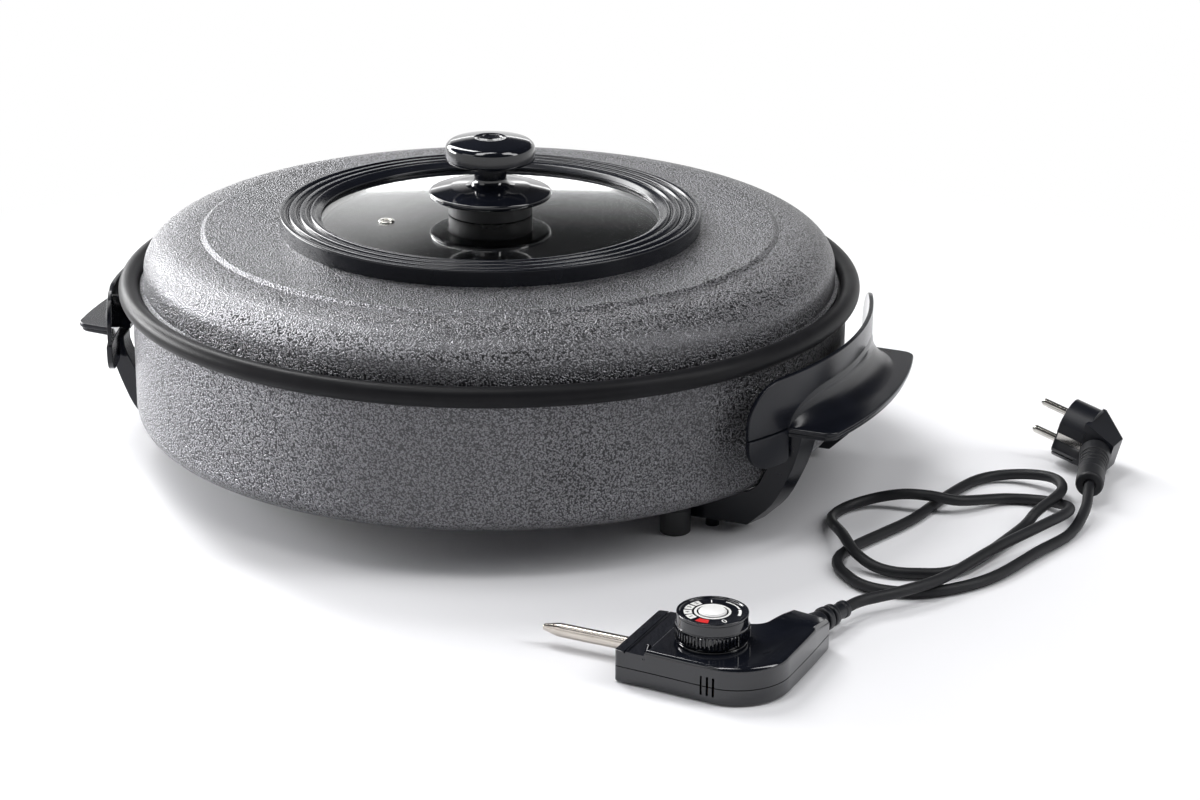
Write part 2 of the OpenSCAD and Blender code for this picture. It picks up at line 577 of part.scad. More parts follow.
module control_cover() color([0.05, 0.05, 0.06]) at_control() difference() {
    union() {
        difference() {
            translate([0, 0, seam_z]) linear_extrude(case_h - seam_z) polygon(case_plan);
            translate([0, 0, seam_z - 1]) linear_extrude(case_h - seam_z + 1 - case_t - 3) polygon(inset(case_plan, case_t));
            translate([0, 0, seam_z - 1]) linear_extrude(case_h - seam_z + 1 - case_t)
                polygon([[case_left + 10, -22], [20, -22], [30, 0], [30, 24], [case_left + 10, 24]]);
        }
        for (p = screw_posts) disc_at(p.x, p.y, 4.2, seam_z, case_h - 4);
        rod(spindle_r + 3, case_h - 5, case_h + 0.6);
    }
    case_holes();
    box(case_left - 1, case_left + 5, -40, 40, case_h - 3, case_h + 1);
    box(case_left + 6, case_left + 7.5, -40, 40, case_h - 1, case_h + 1);
    translate([0, 38, case_h]) rotate([-10.5, 0, 0]) box(-10, 60, 0, 50, 0, 10);
    for (p = screw_posts) disc_at(p.x, p.y, 1.4 + screw_fit, seam_z - 1, case_h - 6);
    rod(spindle_r + spindle_clear, seam_z, case_h + 2);
}
module cover_screws() color([0.7, 0.7, 0.72]) at_control() for (p = screw_posts)
    translate([p.x, p.y, 0]) screw(1.4, 1.2, case_h - 7);

module probe_tube() color([0.75, 0.74, 0.72]) at_control() translate([0, 0, seam_z]) difference() {
    union() {
        rod_x(probe_r, -probe_reach + 10, probe_u + 10);
        translate([-probe_reach, 0, 0]) rotate([0, 90, 0]) cylinder(r1 = 1, r2 = probe_r, h = 10);
    }
    rod_x(probe_r - 1, -probe_reach + 14, probe_u + 11);
}
module probe_collar() color([0.7, 0.7, 0.72]) at_control() translate([0, 0, seam_z]) difference() {
    union() {
        rod_x(probe_r + 2, case_left - 0.5, probe_u + 6);
        rod_x(probe_r + 3, case_left + case_t + 0.2, case_left + case_t + 1.8);
    }
    rod_x(probe_r + 0.02, case_left - 2, probe_u + 7);
}
frame_z = seam_z - probe_r - 1.2;
module thermostat_frame() color([0.6, 0.6, 0.62]) at_control() difference() {
    union() {
        box(-26, 14, -6, 6, frame_z, frame_z + 1.2);
        box(-28, -26.8, -6, 6, frame_z, seam_z + 6);
        box(-28, -26, -6, 6, frame_z, frame_z + 1.2);
        box(12.8, 14, -6, 6, case_t, seam_z + 4);
        disc_at(0, 0, 4, case_t, frame_z + 1);
    }
    translate([0, 0, seam_z]) rod_x(probe_r + screw_fit, -30, -24);
}
module fixed_contact() color([0.8, 0.6, 0.3]) at_control() {
    box(6, 10, -5.8, -3, frame_z + 1.2, frame_z + 2.4);
    box(-16, 10, -5.8, -3, frame_z + 2.4, frame_z + 3);
    disc_at(-14, -4.4, 1.4, frame_z + 3, frame_z + 3.8);
}
module moving_contact() color([0.8, 0.6, 0.3]) at_control() {
    box(6, 10, 3, 5.8, frame_z + 1.2, frame_z + 4);
    box(-17, 10, 3, 5.8, frame_z + 4, frame_z + 4.5);
    box(-17, -12, -5.8, 5.8, frame_z + 4, frame_z + 4.5);
    disc_at(-14, -4.4, 1.4, frame_z + 3.9, frame_z + 4.2);
}
module socket_contacts() color([0.8, 0.66, 0.35]) at_control() for (s = [-1, 1]) translate([0, s * socket_v, 0]) {
    translate([0, 0, seam_z]) difference() {
        rod_x(3.2, case_left + case_t + 1.4, case_left + 20);
        rod_x(pin_r + 0.05, case_left, case_left + 21);
    }
    box(case_left + 16, case_left + 24, -2, 2, case_t, seam_z - 2.7);
}
module earth_spring() color([0.8, 0.66, 0.35]) at_control() {
    box(case_left + 9.2, case_left + 22, -9.2, -8.6, case_t, seam_z + 3);
    box(case_left + 9.2, case_left + 22, -9.2, -7, case_t, case_t + 0.6);
}
module pilot_lamp() color([0.95, 0.5, 0.3]) at_control() {
    rod(2.6, frame_z + 1.2, case_h + 5);
    translate([0, 0, case_h + 5]) sphere(2.6, $fn = 32);
}

// Ribbed relief where the cord leaves the control; its local X runs along the cord
module relief_place() at_control() translate([relief_from.x, relief_from.y, seam_z])
    rotate([0, 0, 90 + relief_turn]) children();
module strain_relief() color([0.04, 0.04, 0.05]) relief_place() difference() {
    rotate([0, 90, 0]) rotate_extrude() {
        translate([0, -10]) square([4.4, relief_len + 10]);
        translate([0, -8]) square([6.4, 2.8]);
        translate([0, 2.5]) square([6.6, 3.5]);
        for (i = [0:3]) translate([0, 8 + 5 * i]) square([6.2 - 0.3 * i, 2.6]);
        translate([0, relief_len - 3]) square([4.9, 3]);
    }
    rod_x(cord_d / 2 + 0.05, relief_len - 1.5, relief_len + 1);
}
module cord_clamp() color([0.6, 0.6, 0.62]) relief_place() {
    box(-18, -12, -5, 5, -1 - seam_z + case_t + 1, -2.6);
    box(-18, -12, -6, 6, -4, -2.6);
}

// ---------------------------------------------------------------- dial
function rib_r(i) = i % 2 == 0 ? dial_skirt_r : dial_skirt_r - 0.9;
module dial_knob() color([0.05, 0.05, 0.06]) at_control() difference() {
    union() {
        translate([0, 0, dial_z + 1.5]) linear_extrude(dial_step - dial_z - 1.5)
            polygon([for (i = [0:2 * dial_ribs - 1]) rib_r(i) * [cos(180 * i / dial_ribs), sin(180 * i / dial_ribs)]]);
        rod(dial_skirt_r - 1.2, dial_z, dial_z + 2);
        rod(dial_r, dial_step - 1, z_dial - 1);
        rod(dial_r - 1, z_dial - 2, z_dial);
    }
    rod(dial_skirt_r - 4, dial_z - 1, dial_step);
    rod(spindle_r + 0.02, dial_z - 1, z_dial - 2);
    rod(dial_r - 2, z_dial - 0.8, z_dial + 1);
    rod(7.5, z_dial - 2.5, z_dial + 1);
}
module dial_face() color([0.9, 0.9, 0.9]) at_control() difference() {
    rod(dial_r - 2.1, z_dial - 0.8, z_dial - 0.3);
    rod(7.6, z_dial - 2, z_dial + 1);
}
module dial_lens() color([0.95, 0.95, 0.93]) at_control() {
    rod(7.4, z_dial - 2.5, z_dial - 0.2);
    rod(6.4, z_dial - 1, z_dial + 0.5);
}
cam_z = case_h - case_t - 5;
module dial_spindle() color([0.85, 0.85, 0.83]) at_control() difference() {
    rod(spindle_r, cam_z + 0.2, z_dial - 2.5);
    rod(3.4, cam_z - 1, z_dial);
}
module adjuster_cam() color([0.85, 0.85, 0.83]) at_control() difference() {
    union() {
        rod(8.5, cam_z, cam_z + 1.8);
        rotate(20) box(0, 11, -2, 2, cam_z, cam_z + 1.8);
    }
    rod(3.4, cam_z - 1, cam_z + 3);
    rod(spindle_r + 0.03, cam_z + 0.2, cam_z + 3);
}

// ---------------------------------------------------------------- cord and plug
plug_at = [336, 112, 23.3];
plug_tilt = 15;
plug_turn = -7;
plug_relief_from = [26, -14];
plug_relief_to = [40, -60];
plug_relief_dir = plug_relief_to - plug_relief_from;
plug_relief_len = norm(plug_relief_dir);
module at_plug() translate(plug_at) rotate([0, plug_tilt, plug_turn]) children();
function turn_y(p, a) = [p.x * cos(a) + p.z * sin(a), p.y, -p.x * sin(a) + p.z * cos(a)];
function turn_z(p, a) = [p.x * cos(a) - p.y * sin(a), p.x * sin(a) + p.y * cos(a), p.z];
function on_plug(p) = plug_at + turn_z(turn_y(p, plug_tilt), plug_turn);
function on_control(p) = [control_x, control_y, 0] + turn_z(p, control_turn);
function on_relief(l) = on_control([relief_from.x + l * cos(90 + relief_turn), relief_from.y + l * sin(90 + relief_turn), seam_z]);
function on_plug_relief(l) = let (p = plug_relief_from + unit(plug_relief_dir) * l) on_plug([p.x, p.y, 0]);
cord_start = [on_relief(relief_len - 1.2), on_relief(relief_len + 4)];
cord_end = [on_plug_relief(plug_relief_len + 5), on_plug_relief(plug_relief_len - 1.7)];
// The cord's route from the control's relief to the plug's relief
cord_route = [[293, -160, 9.6], [309, -141, 10.1], [325, -114, 10.4], [339, -65, 10.4], [356, -25, 12.3], [365, 4, 11.8],
    [358.5, 25, 7.2], [341.5, 34.5, 4.1], [321, 30, 3.7], [300, 6, 7.8], [284, -1, 10.9], [267, -2, 9.7], [250, -8, 6.1],
    [237.6, -23, 3.6], [237, -44, 4.3], [254, -76, 10.2], [269, -96, 8.1], [285, -103, 4.6], [304, -100, 3.7],
    [326, -82, 3.5], [342, -17, 4.6], [347, 3, 9.5], [354, 33, 12.8], [342, 60, 9.4], [319, 67, 5.7], [298, 54, 3.6],
    [287, 17, 3.5], [279, -25, 3.4], [258, -91, 3.7], [274, -121, 3.6], [296, -129, 3.6], [322, -119, 3.6],
    [345, -89, 3.5], [360, -43, 4.2], [370, -8, 3.8], [371.5, 21, 8.4]];
module cord() color([0.06, 0.06, 0.07])
    tube(smooth_path(concat(cord_start, cord_route, cord_end), 2), cord_d / 2, 10);

module plug_body() color([0.06, 0.06, 0.07]) difference() {
    at_plug() union() {
        intersection() {
            rod_x(plug_r, 0, 17);
            box(-1, 18, -16.5, plug_r, -plug_r, plug_r);
        }
        intersection() {
            hull() {
                box(15, 17, -16, 15, -13, 15);
                box(34, 36, -16, 0, -9, 9);
            }
            box(14, 40, -20, 20, -13.5, 16);
        }
    }
    at_plug() {
        box(-1, 15, -20, 20, -12.6, -11.2);
        both_sides() box(-1, 17, plug_r - 3, plug_r + 1, -2.5, 2.5);
        for (s = [-1, 1]) translate([0, 0, s * plug_pitch / 2]) rod_x(plug_pin_d / 2 + screw_fit, -1, 9);
    }
    at_plug_relief() rod_x(9.7, 2.9, 40);
}
module at_plug_relief() at_plug() translate([plug_relief_from.x, plug_relief_from.y, 0])
    rotate([0, 0, atan2(plug_relief_dir.y, plug_relief_dir.x)]) children();
module plug_relief() color([0.06, 0.06, 0.07]) at_plug_relief() difference() {
    l = plug_relief_len;
    rotate([0, 90, 0]) rotate_extrude() difference() {
        polygon([[0, 3], [9.6, 3], [9, 12], [8, l - 15], [8.4, l - 13], [8.4, l - 1], [7.6, l], [0, l]]);
        for (i = [0:3]) translate([8, 13 + 4.4 * i]) square([3, 1.8]);
    }
    rod_x(cord_d / 2 + 0.05, l - 2, l + 1);
}
module plug_pins() color([0.8, 0.8, 0.78]) at_plug() for (s = [-1, 1]) translate([0, 0, s * plug_pitch / 2]) {
    rod_x(plug_pin_d / 2, -plug_pin_len + 1.5, 8.5);
    translate([-plug_pin_len, 0, 0]) rotate([0, 90, 0]) cylinder(r1 = plug_pin_d / 2 - 1, r2 = plug_pin_d / 2, h = 1.5);
}
module plug_earth_clips() color([0.8, 0.8, 0.78]) at_plug() {
    box(1, 16.9, plug_r - 2.8, plug_r - 2, -2.2, 2.2);
    box(1, 16.9, -16.4, -15.8, -2.2, 2.2);
}

pan();
heating_element();
element_clips();
clip_screws();
terminal_pins();
inlet_housing();
inlet_screws();
probe_well();
earth_blade();
foot_front_left();
foot_front_right();
foot_rear_left();
foot_rear_right();
foot_studs();
handle_left();
handle_right();
bracket_left();
bracket_right();
handle_screws();
bracket_screws();
lid_shell();
window_ring();
window_retainer();
retainer_screws();
window_gasket();
window_glass();
vent_eyelet();
knob_grip();
knob_cap_plug();
knob_guard();
knob_washer();
knob_screw();
control_base();
control_cover();
cover_screws();
probe_tube();
probe_collar();
thermostat_frame();
fixed_contact();
moving_contact();
socket_contacts();
earth_spring();
pilot_lamp();
strain_relief();
cord_clamp();
dial_knob();
dial_face();
dial_lens();
dial_spindle();
adjuster_cam();
cord();
plug_body();
plug_relief();
plug_pins();
plug_earth_clips();
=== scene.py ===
"""Electric pan with a lift-off lid and a plug-in thermostat control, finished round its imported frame."""

import math

import bmesh
import bpy
from bpy.props import FloatProperty, FloatVectorProperty, IntProperty, PointerProperty
from mathutils import Matrix, Vector


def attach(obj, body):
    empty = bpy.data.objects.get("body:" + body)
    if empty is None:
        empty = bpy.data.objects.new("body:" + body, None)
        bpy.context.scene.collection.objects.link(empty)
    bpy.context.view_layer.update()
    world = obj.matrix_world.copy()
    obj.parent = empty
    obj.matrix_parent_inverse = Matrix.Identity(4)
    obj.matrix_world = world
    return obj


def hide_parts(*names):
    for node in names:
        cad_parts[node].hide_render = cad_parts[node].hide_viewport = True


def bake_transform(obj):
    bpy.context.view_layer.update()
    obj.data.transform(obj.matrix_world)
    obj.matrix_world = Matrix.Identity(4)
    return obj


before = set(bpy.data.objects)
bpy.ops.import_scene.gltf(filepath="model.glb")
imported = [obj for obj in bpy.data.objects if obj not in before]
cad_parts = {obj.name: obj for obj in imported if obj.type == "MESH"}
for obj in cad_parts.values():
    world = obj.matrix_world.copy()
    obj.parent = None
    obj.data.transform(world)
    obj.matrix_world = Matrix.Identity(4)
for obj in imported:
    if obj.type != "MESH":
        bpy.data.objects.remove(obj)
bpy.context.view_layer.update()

bl_info = {
    "name": "Electric pan workshop",
    "version": (1, 0, 0),
    "blender": (4, 5, 0),
    "location": "3D View > Sidebar > Electric pan",
    "description": "Makes an electric pan, its lid, its plug-in control and its cord, one piece at a time",
    "category": "Object",
}

MM = 0.001
BASE, LID, CONTROL, DIAL = "pan_base", "lid", "control", "dial"


def size(name, default_mm, description):
    """A length that a user can change, shown in the scene's units."""
    return FloatProperty(name=name, description=description, default=default_mm * MM, unit="LENGTH")


def bearing(name, default_degrees, description):
    """An angle that a user can change, shown in the scene's units."""
    return FloatProperty(
        name=name, description=description, default=math.radians(default_degrees), subtype="ANGLE",
        unit="ROTATION",
    )


def colour(name, default, description):
    """A paint or plastic colour that a user can change."""
    return FloatVectorProperty(
        name=name, description=description, default=default, size=3, subtype="COLOR", min=0, max=1
    )


# ------------------------------------------------------------------ sizes and colours
class PanSizes(bpy.types.PropertyGroup):
    """Sizes of the pan, in the order they are met from the outside in."""

    rim_radius: size("Rim radius", 225, "Outside radius of the rolled rim")
    wall_radius: size("Wall radius", 217, "Outside radius of the wall")
    inner_radius: size("Inside radius", 210.5, "Inside radius of the wall")
    underside: size("Underside", 27, "Height of the underside above the table")
    floor: size("Cooking floor", 33, "Height of the cooking floor above the table")
    rim_height: size("Rim height", 110, "Height of the middle of the rolled rim")
    rim_roll: size("Rim roll", 6, "Radius of the rolled rim's section")
    foot_radius: size("Foot radius", 9, "Radius of a foot")
    foot_x: size("Foot X", 156, "Distance from the centre to a foot along X")
    foot_y: size("Foot Y", 87, "Distance from the centre to a foot along Y")
    steps: IntProperty(name="Steps", description="Steps in a full turn", default=192, min=48, max=256)


class LidSizes(bpy.types.PropertyGroup):
    """Sizes of the lid, its window and its knob."""

    edge_radius: size("Edge radius", 212.2, "Outside radius of the lid's flat edge")
    wall_radius: size("Wall radius", 209.6, "Radius of the lid's upright wall")
    seat: size("Seat height", 110.4, "Height at which the lid rests in the pan")
    shoulder_foot: size("Shoulder foot", 122.4, "Height at which the wall turns into the shoulder")
    top: size("Top height", 143.4, "Height of the lid's flat top")
    step_radius: size("Step radius", 173.6, "Radius of the pressed step")
    sheet: size("Sheet", 1.6, "Thickness of the sheet")
    ring_radius: size("Ring radius", 127.6, "Outside radius of the window ring")
    ring_height: size("Ring height", 10, "Height of the window ring")
    opening: size("Opening", 102.4, "Radius of the glass that shows")
    glass_edge: size("Glass edge", 148.9, "Height of the glass at its edge")
    glass_rise: size("Glass rise", 1.3, "Rise of the glass at its middle")
    glass: size("Glass", 3, "Thickness of the glass")
    cap_radius: size("Cap radius", 27, "Radius of the knob's cap")
    cap_foot: size("Cap foot", 182.7, "Height of the cap's lower edge")
    cap_top: size("Cap top", 198.2, "Height of the cap's top")
    guard_radius: size("Guard radius", 37.2, "Radius of the finger guard")


class CordSizes(bpy.types.PropertyGroup):
    """Sizes of the mains cord."""

    diameter: size("Diameter", 6.4, "Diameter of the cord")
    sides: IntProperty(name="Sides", description="Sides round the cord", default=20, min=8, max=32)


class PanColours(bpy.types.PropertyGroup):
    """Colours of the coatings, plastics and metals."""

    hammered: colour("Hammered coating", (0.195, 0.195, 0.207), "Metallic grey of the pan and the lid")
    lining: colour("Lining", (0.011, 0.011, 0.0125), "Black lining and rolled rim")
    gloss: colour("Gloss black", (0.006, 0.007, 0.011), "Handles, ring, knob and control")
    rubber: colour("Cord black", (0.01, 0.0105, 0.0125), "Cord and its reliefs")
    warm_steel: colour("Probe steel", (0.62, 0.57, 0.52), "Temperature probe")
    print_white: colour("Dial white", (0.82, 0.82, 0.8), "Printing and lens of the dial")
    print_red: colour("Dial red", (0.62, 0.02, 0.02), "Hottest mark of the dial")
    floor: colour("Floor", (0.885, 0.885, 0.905), "Table under the pan")


class StageSettings(bpy.types.PropertyGroup):
    """Camera and lamps."""

    place: FloatVectorProperty(
        name="Camera place", description="Where the camera stands", default=(0.72334, -1.59482, 0.66465),
        size=3, subtype="TRANSLATION", unit="LENGTH",
    )
    heading: bearing("Heading", 112.19, "Direction of view, from +X towards +Y")
    dip: bearing("Dip", 19.94, "Angle of view below the horizon")
    roll: bearing("Roll", 0.5, "Turn of the camera about its line of view")
    lens: FloatProperty(name="Lens", description="Focal length in millimetres", default=90, min=10, max=300)
    lamps: FloatProperty(
        name="Lamps", description="Strength of all lamps together", default=1.0, min=0, max=10,
    )


# ------------------------------------------------------------------ materials
class Nodes:
    """A node tree, with short ways to add, set and join its nodes."""

    def __init__(self, tree):
        self.nodes, self.links = tree.nodes, tree.links

    def add(self, kind, **settings):
        node = self.nodes.new(kind)
        for key, value in settings.items():
            setattr(node, key, value)
        return node

    def fill(self, node, **values):
        """Sets a node's sockets, named with _ for each space."""
        for key, value in values.items():
            node.inputs[key.replace("_", " ")].default_value = value
        return node

    def join(self, source, node, socket):
        self.links.new(source, node.inputs[socket])
        return node

    def math(self, operation, first, second):
        """What an operation makes of two outputs."""
        node = self.add("ShaderNodeMath", operation=operation)
        self.join(first, node, 0)
        self.join(second, node, 1)
        return node.outputs["Value"]

    def ranged(self, source, kind="LINEAR", **ends):
        """An output moved from one range to another and held at its ends."""
        node = self.fill(self.add("ShaderNodeMapRange", interpolation_type=kind), **ends)
        self.join(source, node, "Value")
        return node.outputs["Result"]

    def mixed(self, share, first, second, output):
        """Two shaders mixed by a share and joined to the output."""
        mix = self.join(share, self.add("ShaderNodeMixShader"), "Fac")
        self.join(first, mix, 1)
        self.join(second, mix, 2)
        self.join(mix.outputs["Shader"], self.nodes[output], "Surface")

    def mirror_rays(self, path):
        """1 for a ray that left a mirror or went through glass."""
        return self.math("MAXIMUM", path["Is Glossy Ray"], path["Is Transmission Ray"])


class Finish(Nodes):
    """A material's node tree, with ways to give its shader a colour, a gloss and a relief."""

    def __init__(self, name):
        self.material = bpy.data.materials.new(name)
        self.material.use_nodes = True
        super().__init__(self.material.node_tree)
        self.shader = self.nodes["Principled BSDF"]
        self.place = self.add("ShaderNodeTexCoord").outputs["Object"]

    def plain(self, **values):
        """Sets the shader's own sockets."""
        self.fill(self.shader, **{key: rgba(value) for key, value in values.items()})
        return self

    def noise(self, scale, detail, roughness=0.5, vector=None):
        node = self.fill(self.add("ShaderNodeTexNoise"), Scale=scale, Detail=detail, Roughness=roughness)
        self.join(vector or self.place, node, "Vector")
        return node.outputs["Fac"]

    def ramp(self, source, stops):
        """Colours at places from 0 to 1 along an output."""
        node = self.join(source, self.add("ShaderNodeValToRGB"), "Fac")
        ends = node.color_ramp.elements
        for element, (place, shade) in zip((ends[0], ends[1]), (stops[0], stops[-1])):
            element.position = place
            element.color = rgba(shade)
        for place, shade in stops[1:-1]:
            ends.new(place).color = rgba(shade)
        return node.outputs["Color"]

    def colour(self, source):
        self.join(source, self.shader, "Base Color")

    def rough(self, source, low, high):
        self.join(self.ranged(source, To_Min=low, To_Max=high), self.shader, "Roughness")

    def bump(self, source, depth_mm, strength):
        node = self.fill(self.add("ShaderNodeBump"), Strength=strength, Distance=depth_mm * MM)
        self.join(source, node, "Height")
        self.join(node.outputs["Normal"], self.shader, "Normal")

    def stretched(self, scales):
        node = self.fill(self.add("ShaderNodeMapping"), Scale=scales)
        self.join(self.place, node, "Vector")
        return node.outputs["Vector"]


def rgba(value):
    """A colour with its opacity; a plain number stays as it is."""
    return (*value, 1) if hasattr(value, "__len__") else value


def grey(level):
    return (level, level, level)


def tinted(shade, factor):
    return tuple(min(1, c * factor) for c in shade)


def hammered_finish(shade):
    """Hammered metallic coating: fine winding grains whose colour is lighter on the crests and darker in the
    valleys, partly the coating's own tone and partly painted highlight and painted shade.
    """
    grains_per_metre, bends_per_metre, bend = 980, 640, 1.3 * MM
    crest, slope, foot, valley = 0.15, 0.4, 0.6, 0.62
    f = Finish("hammered_coating").plain(Metallic=0.9)
    warp = f.fill(f.add("ShaderNodeTexNoise"), Scale=bends_per_metre, Detail=1.5)
    f.join(f.place, warp, "Vector")
    bent = f.add("ShaderNodeVectorMath", operation="MULTIPLY_ADD")
    f.join(warp.outputs["Color"], bent, 0)
    bent.inputs[1].default_value = (bend, bend, bend)
    f.join(f.place, bent, 2)
    cells = f.fill(
        f.add("ShaderNodeTexVoronoi", feature="SMOOTH_F1"), Scale=grains_per_metre, Smoothness=0.7
    )
    f.join(bent.outputs["Vector"], cells, "Vector")
    grain = cells.outputs["Distance"]
    # Base colour: crests painted lighter as a painted highlight and valleys painted darker as painted shade,
    # over the coating's own grain tone.
    f.colour(f.ramp(grain, [(crest, tinted(shade, 1.4)), (slope, shade), (valley, tinted(shade, 0.32))]))
    f.rough(grain, 0.285, 0.36)
    f.bump(f.ramp(grain, [(crest, grey(1.0)), (foot, grey(0.0))]), 1.0, 0.65)
    return f.material


def plastic_finish(name, shade, low, high, grain=900, depth=0.012, coat=0.0, shine=0.5):
    """Moulded plastic: fine grain in its gloss and a faint flow in its surface."""
    f = Finish(name).plain(Coat_Weight=coat, Coat_Roughness=0.05, Specular_IOR_Level=shine)
    f.colour(f.ramp(f.noise(55, 3), [(0.3, tinted(shade, 0.85)), (0.7, tinted(shade, 1.2))]))
    f.rough(f.noise(35, 4, 0.6), low, high)
    f.bump(f.noise(grain, 2), depth, 0.6)
    return f.material


def metal_finish(name, shade, low, high, stretch=(60, 60, 900)):
    """Drawn or turned metal with fine lines across the stretched axis."""
    f = Finish(name).plain(Metallic=1.0)
    lines = f.noise(1.0, 4, 0.6, f.stretched(stretch))
    f.colour(f.ramp(lines, [(0.3, tinted(shade, 0.82)), (0.7, tinted(shade, 1.1))]))
    f.rough(lines, low, high)
    f.bump(lines, 0.002, 0.25)
    return f.material


def glass_finish():
    """Clear tempered glass, very slightly smoked."""
    f = Finish("window_glass_clear").plain(
        Base_Color=(0.8, 0.83, 0.84), Roughness=0.04, IOR=1.5, Transmission_Weight=1.0,
        Coat_Weight=1.0, Coat_Roughness=0.04, Coat_IOR=1.6,
    )
    f.bump(f.noise(18, 1), 0.02, 0.15)
    return f.material


# Each finish: the material's name, its colour or the setting that holds it, its lowest and its
# highest roughness, and what else its kind is told.
PLASTICS = {
    "lining": ("rim_and_lining", "lining", 0.34, 0.46, dict(grain=1400, depth=0.03, shine=0.1)),
    "gloss": ("gloss_black_plastic", "gloss", 0.05, 0.13, dict(grain=500, depth=0.004, coat=0.5)),
    "moulded": ("moulded_black_plastic", "gloss", 0.17, 0.26, dict(grain=700, depth=0.008, shine=0.32)),
    "satin": ("satin_black_plastic", "gloss", 0.28, 0.4, dict(grain=1200, depth=0.02)),
    "matt": ("matt_black_plastic", "rubber", 0.5, 0.62, dict(grain=1100, depth=0.03)),
    "rubber": ("cord_rubber", "rubber", 0.42, 0.56, dict(grain=1300, depth=0.03, shine=0.3)),
    "print": ("dial_white_print", "print_white", 0.3, 0.42, {}),
    "lens": ("dial_lens", (0.93, 0.93, 0.92), 0.2, 0.3, {}),
    "red": ("dial_red_print", "print_red", 0.3, 0.42, {}),
    "white": ("white_plastic", "print_white", 0.35, 0.5, {}),
    "silicone": ("silicone", (0.55, 0.55, 0.53), 0.45, 0.6, {}),
    "amber": ("lamp_amber", (0.8, 0.3, 0.12), 0.08, 0.15, {}),
}
METALS = {
    "probe": ("probe_steel", "warm_steel", 0.16, 0.3, dict(stretch=(40, 900, 900))),
    "nickel": ("bright_nickel", (0.72, 0.7, 0.66), 0.08, 0.2, {}),
    "zinc": ("zinc_plate", (0.62, 0.63, 0.65), 0.22, 0.4, dict(stretch=(300, 300, 300))),
    "alloy": ("cast_alloy", (0.6, 0.6, 0.61), 0.35, 0.55, dict(stretch=(200, 200, 200))),
    "element": ("heat_tinted_steel", (0.3, 0.27, 0.25), 0.4, 0.6, dict(stretch=(120, 120, 120))),
    "brass": ("contact_brass", (0.72, 0.55, 0.25), 0.2, 0.36, dict(stretch=(200, 200, 200))),
}
MADE = {}


def make_finish(name):
    """Makes the named material."""
    colours = bpy.context.scene.pan_colours
    if name == "hammered":
        return hammered_finish(tuple(colours.hammered))
    if name == "glass":
        return glass_finish()
    kind, table = (metal_finish, METALS) if name in METALS else (plastic_finish, PLASTICS)
    title, shade, low, high, more = table[name]
    if isinstance(shade, str):
        shade = tuple(getattr(colours, shade))
    return kind(title, shade, low, high, **more)


def finish(name):
    """The named material, made once."""
    if name not in MADE:
        MADE[name] = make_finish(name)
    return MADE[name]


# ------------------------------------------------------------------ shaping
def as_mesh(bm, name):
    """A mesh with the shape, which is used up."""
    mesh = bpy.data.meshes.new(name)
    bm.to_mesh(mesh)
    bm.free()
    return mesh


def as_object(name, data):
    """An object in the scene that holds a mesh, a curve, a lamp or a camera."""
    made = bpy.data.objects.new(name, data)
    bpy.context.scene.collection.objects.link(made)
    return made


def resize(bm, factor):
    """Makes the shape larger or smaller about the origin."""
    bmesh.ops.scale(bm, vec=(factor,) * 3, verts=bm.verts[:])


def merge(bm, gap):
    """Makes one of points that lie closer than a gap."""
    bmesh.ops.remove_doubles(bm, verts=bm.verts[:], dist=gap)


def turn_out(bm):
    """Makes every face look outwards."""
    bmesh.ops.recalc_face_normals(bm, faces=bm.faces[:])


def flat_shape(corners, place, segments=6):
    """A flat face from (a, b, rounding) corners in millimetres; place turns a pair into a point."""
    bm = bmesh.new()
    verts = [bm.verts.new(place(c[0], c[1])) for c in corners]
    bm.faces.new(verts)
    for vert, corner in zip(verts, corners):
        if len(corner) > 2 and corner[2] > 0:
            bmesh.ops.bevel(
                bm, geom=[vert], offset=corner[2], offset_type="OFFSET", segments=segments,
                profile=0.5, affect="VERTICES", material=-1,
            )
    return bm


def profile(corners, segments):
    """The edges of a flat (radius, height, rounding) shape, open where it runs along the axis."""
    bm = flat_shape(corners, lambda radius, height: (radius, 0, height), segments)
    bmesh.ops.delete(bm, geom=bm.faces[:], context="FACES_ONLY")
    for edge in [e for e in bm.edges if all(abs(v.co.x) < 1e-6 for v in e.verts)]:
        bm.edges.remove(edge)
    return bm


def turned(corners, steps, segments=5):
    """A solid of revolution about Z, closed where its section meets the axis."""
    bm = profile(corners, segments)
    bmesh.ops.spin(
        bm, geom=bm.verts[:] + bm.edges[:], cent=(0, 0, 0), axis=(0, 0, 1), dvec=(0, 0, 0),
        angle=math.tau, steps=steps, use_merge=True, use_duplicate=False,
    )
    merge(bm, 1e-4)
    turn_out(bm)
    return bm


def arc(cx, cz, rx, rz, start, end, count):
    """Corners along an elliptical arc, angles in degrees."""
    turns = [math.radians(start + (end - start) * i / count) for i in range(count + 1)]
    return [(cx + rx * math.cos(t), cz + rz * math.sin(t)) for t in turns]


def block(low, high, bevel=0, segments=2):
    """A box between two corners, its edges softened."""
    low, high = Vector(low), Vector(high)
    bm = bmesh.new()
    bmesh.ops.create_cube(bm, size=1, matrix=shift(*(low + high) / 2) @ Matrix.Diagonal((*(high - low), 1)))
    if bevel:
        soften(bm, bm.edges[:], bevel, segments)
    return bm


def soften(bm, edges, width, segments=3, clamp=True):
    """Rounds edges off."""
    bmesh.ops.bevel(
        bm, geom=edges, offset=width, offset_type="OFFSET", segments=segments, profile=0.5,
        affect="EDGES", clamp_overlap=clamp, material=-1,
    )


def sharp_edges(bm, angle):
    """Edges whose two faces meet at more than an angle in degrees."""
    return [e for e in bm.edges if e.is_manifold and e.calc_face_angle(0) > math.radians(angle)]


def edges_where(bm, rule):
    """Sharp edges of a moulded case whose two ends both keep to the rule."""
    return [e for e in sharp_edges(bm, 50) if all(rule(v.co) for v in e.verts)]


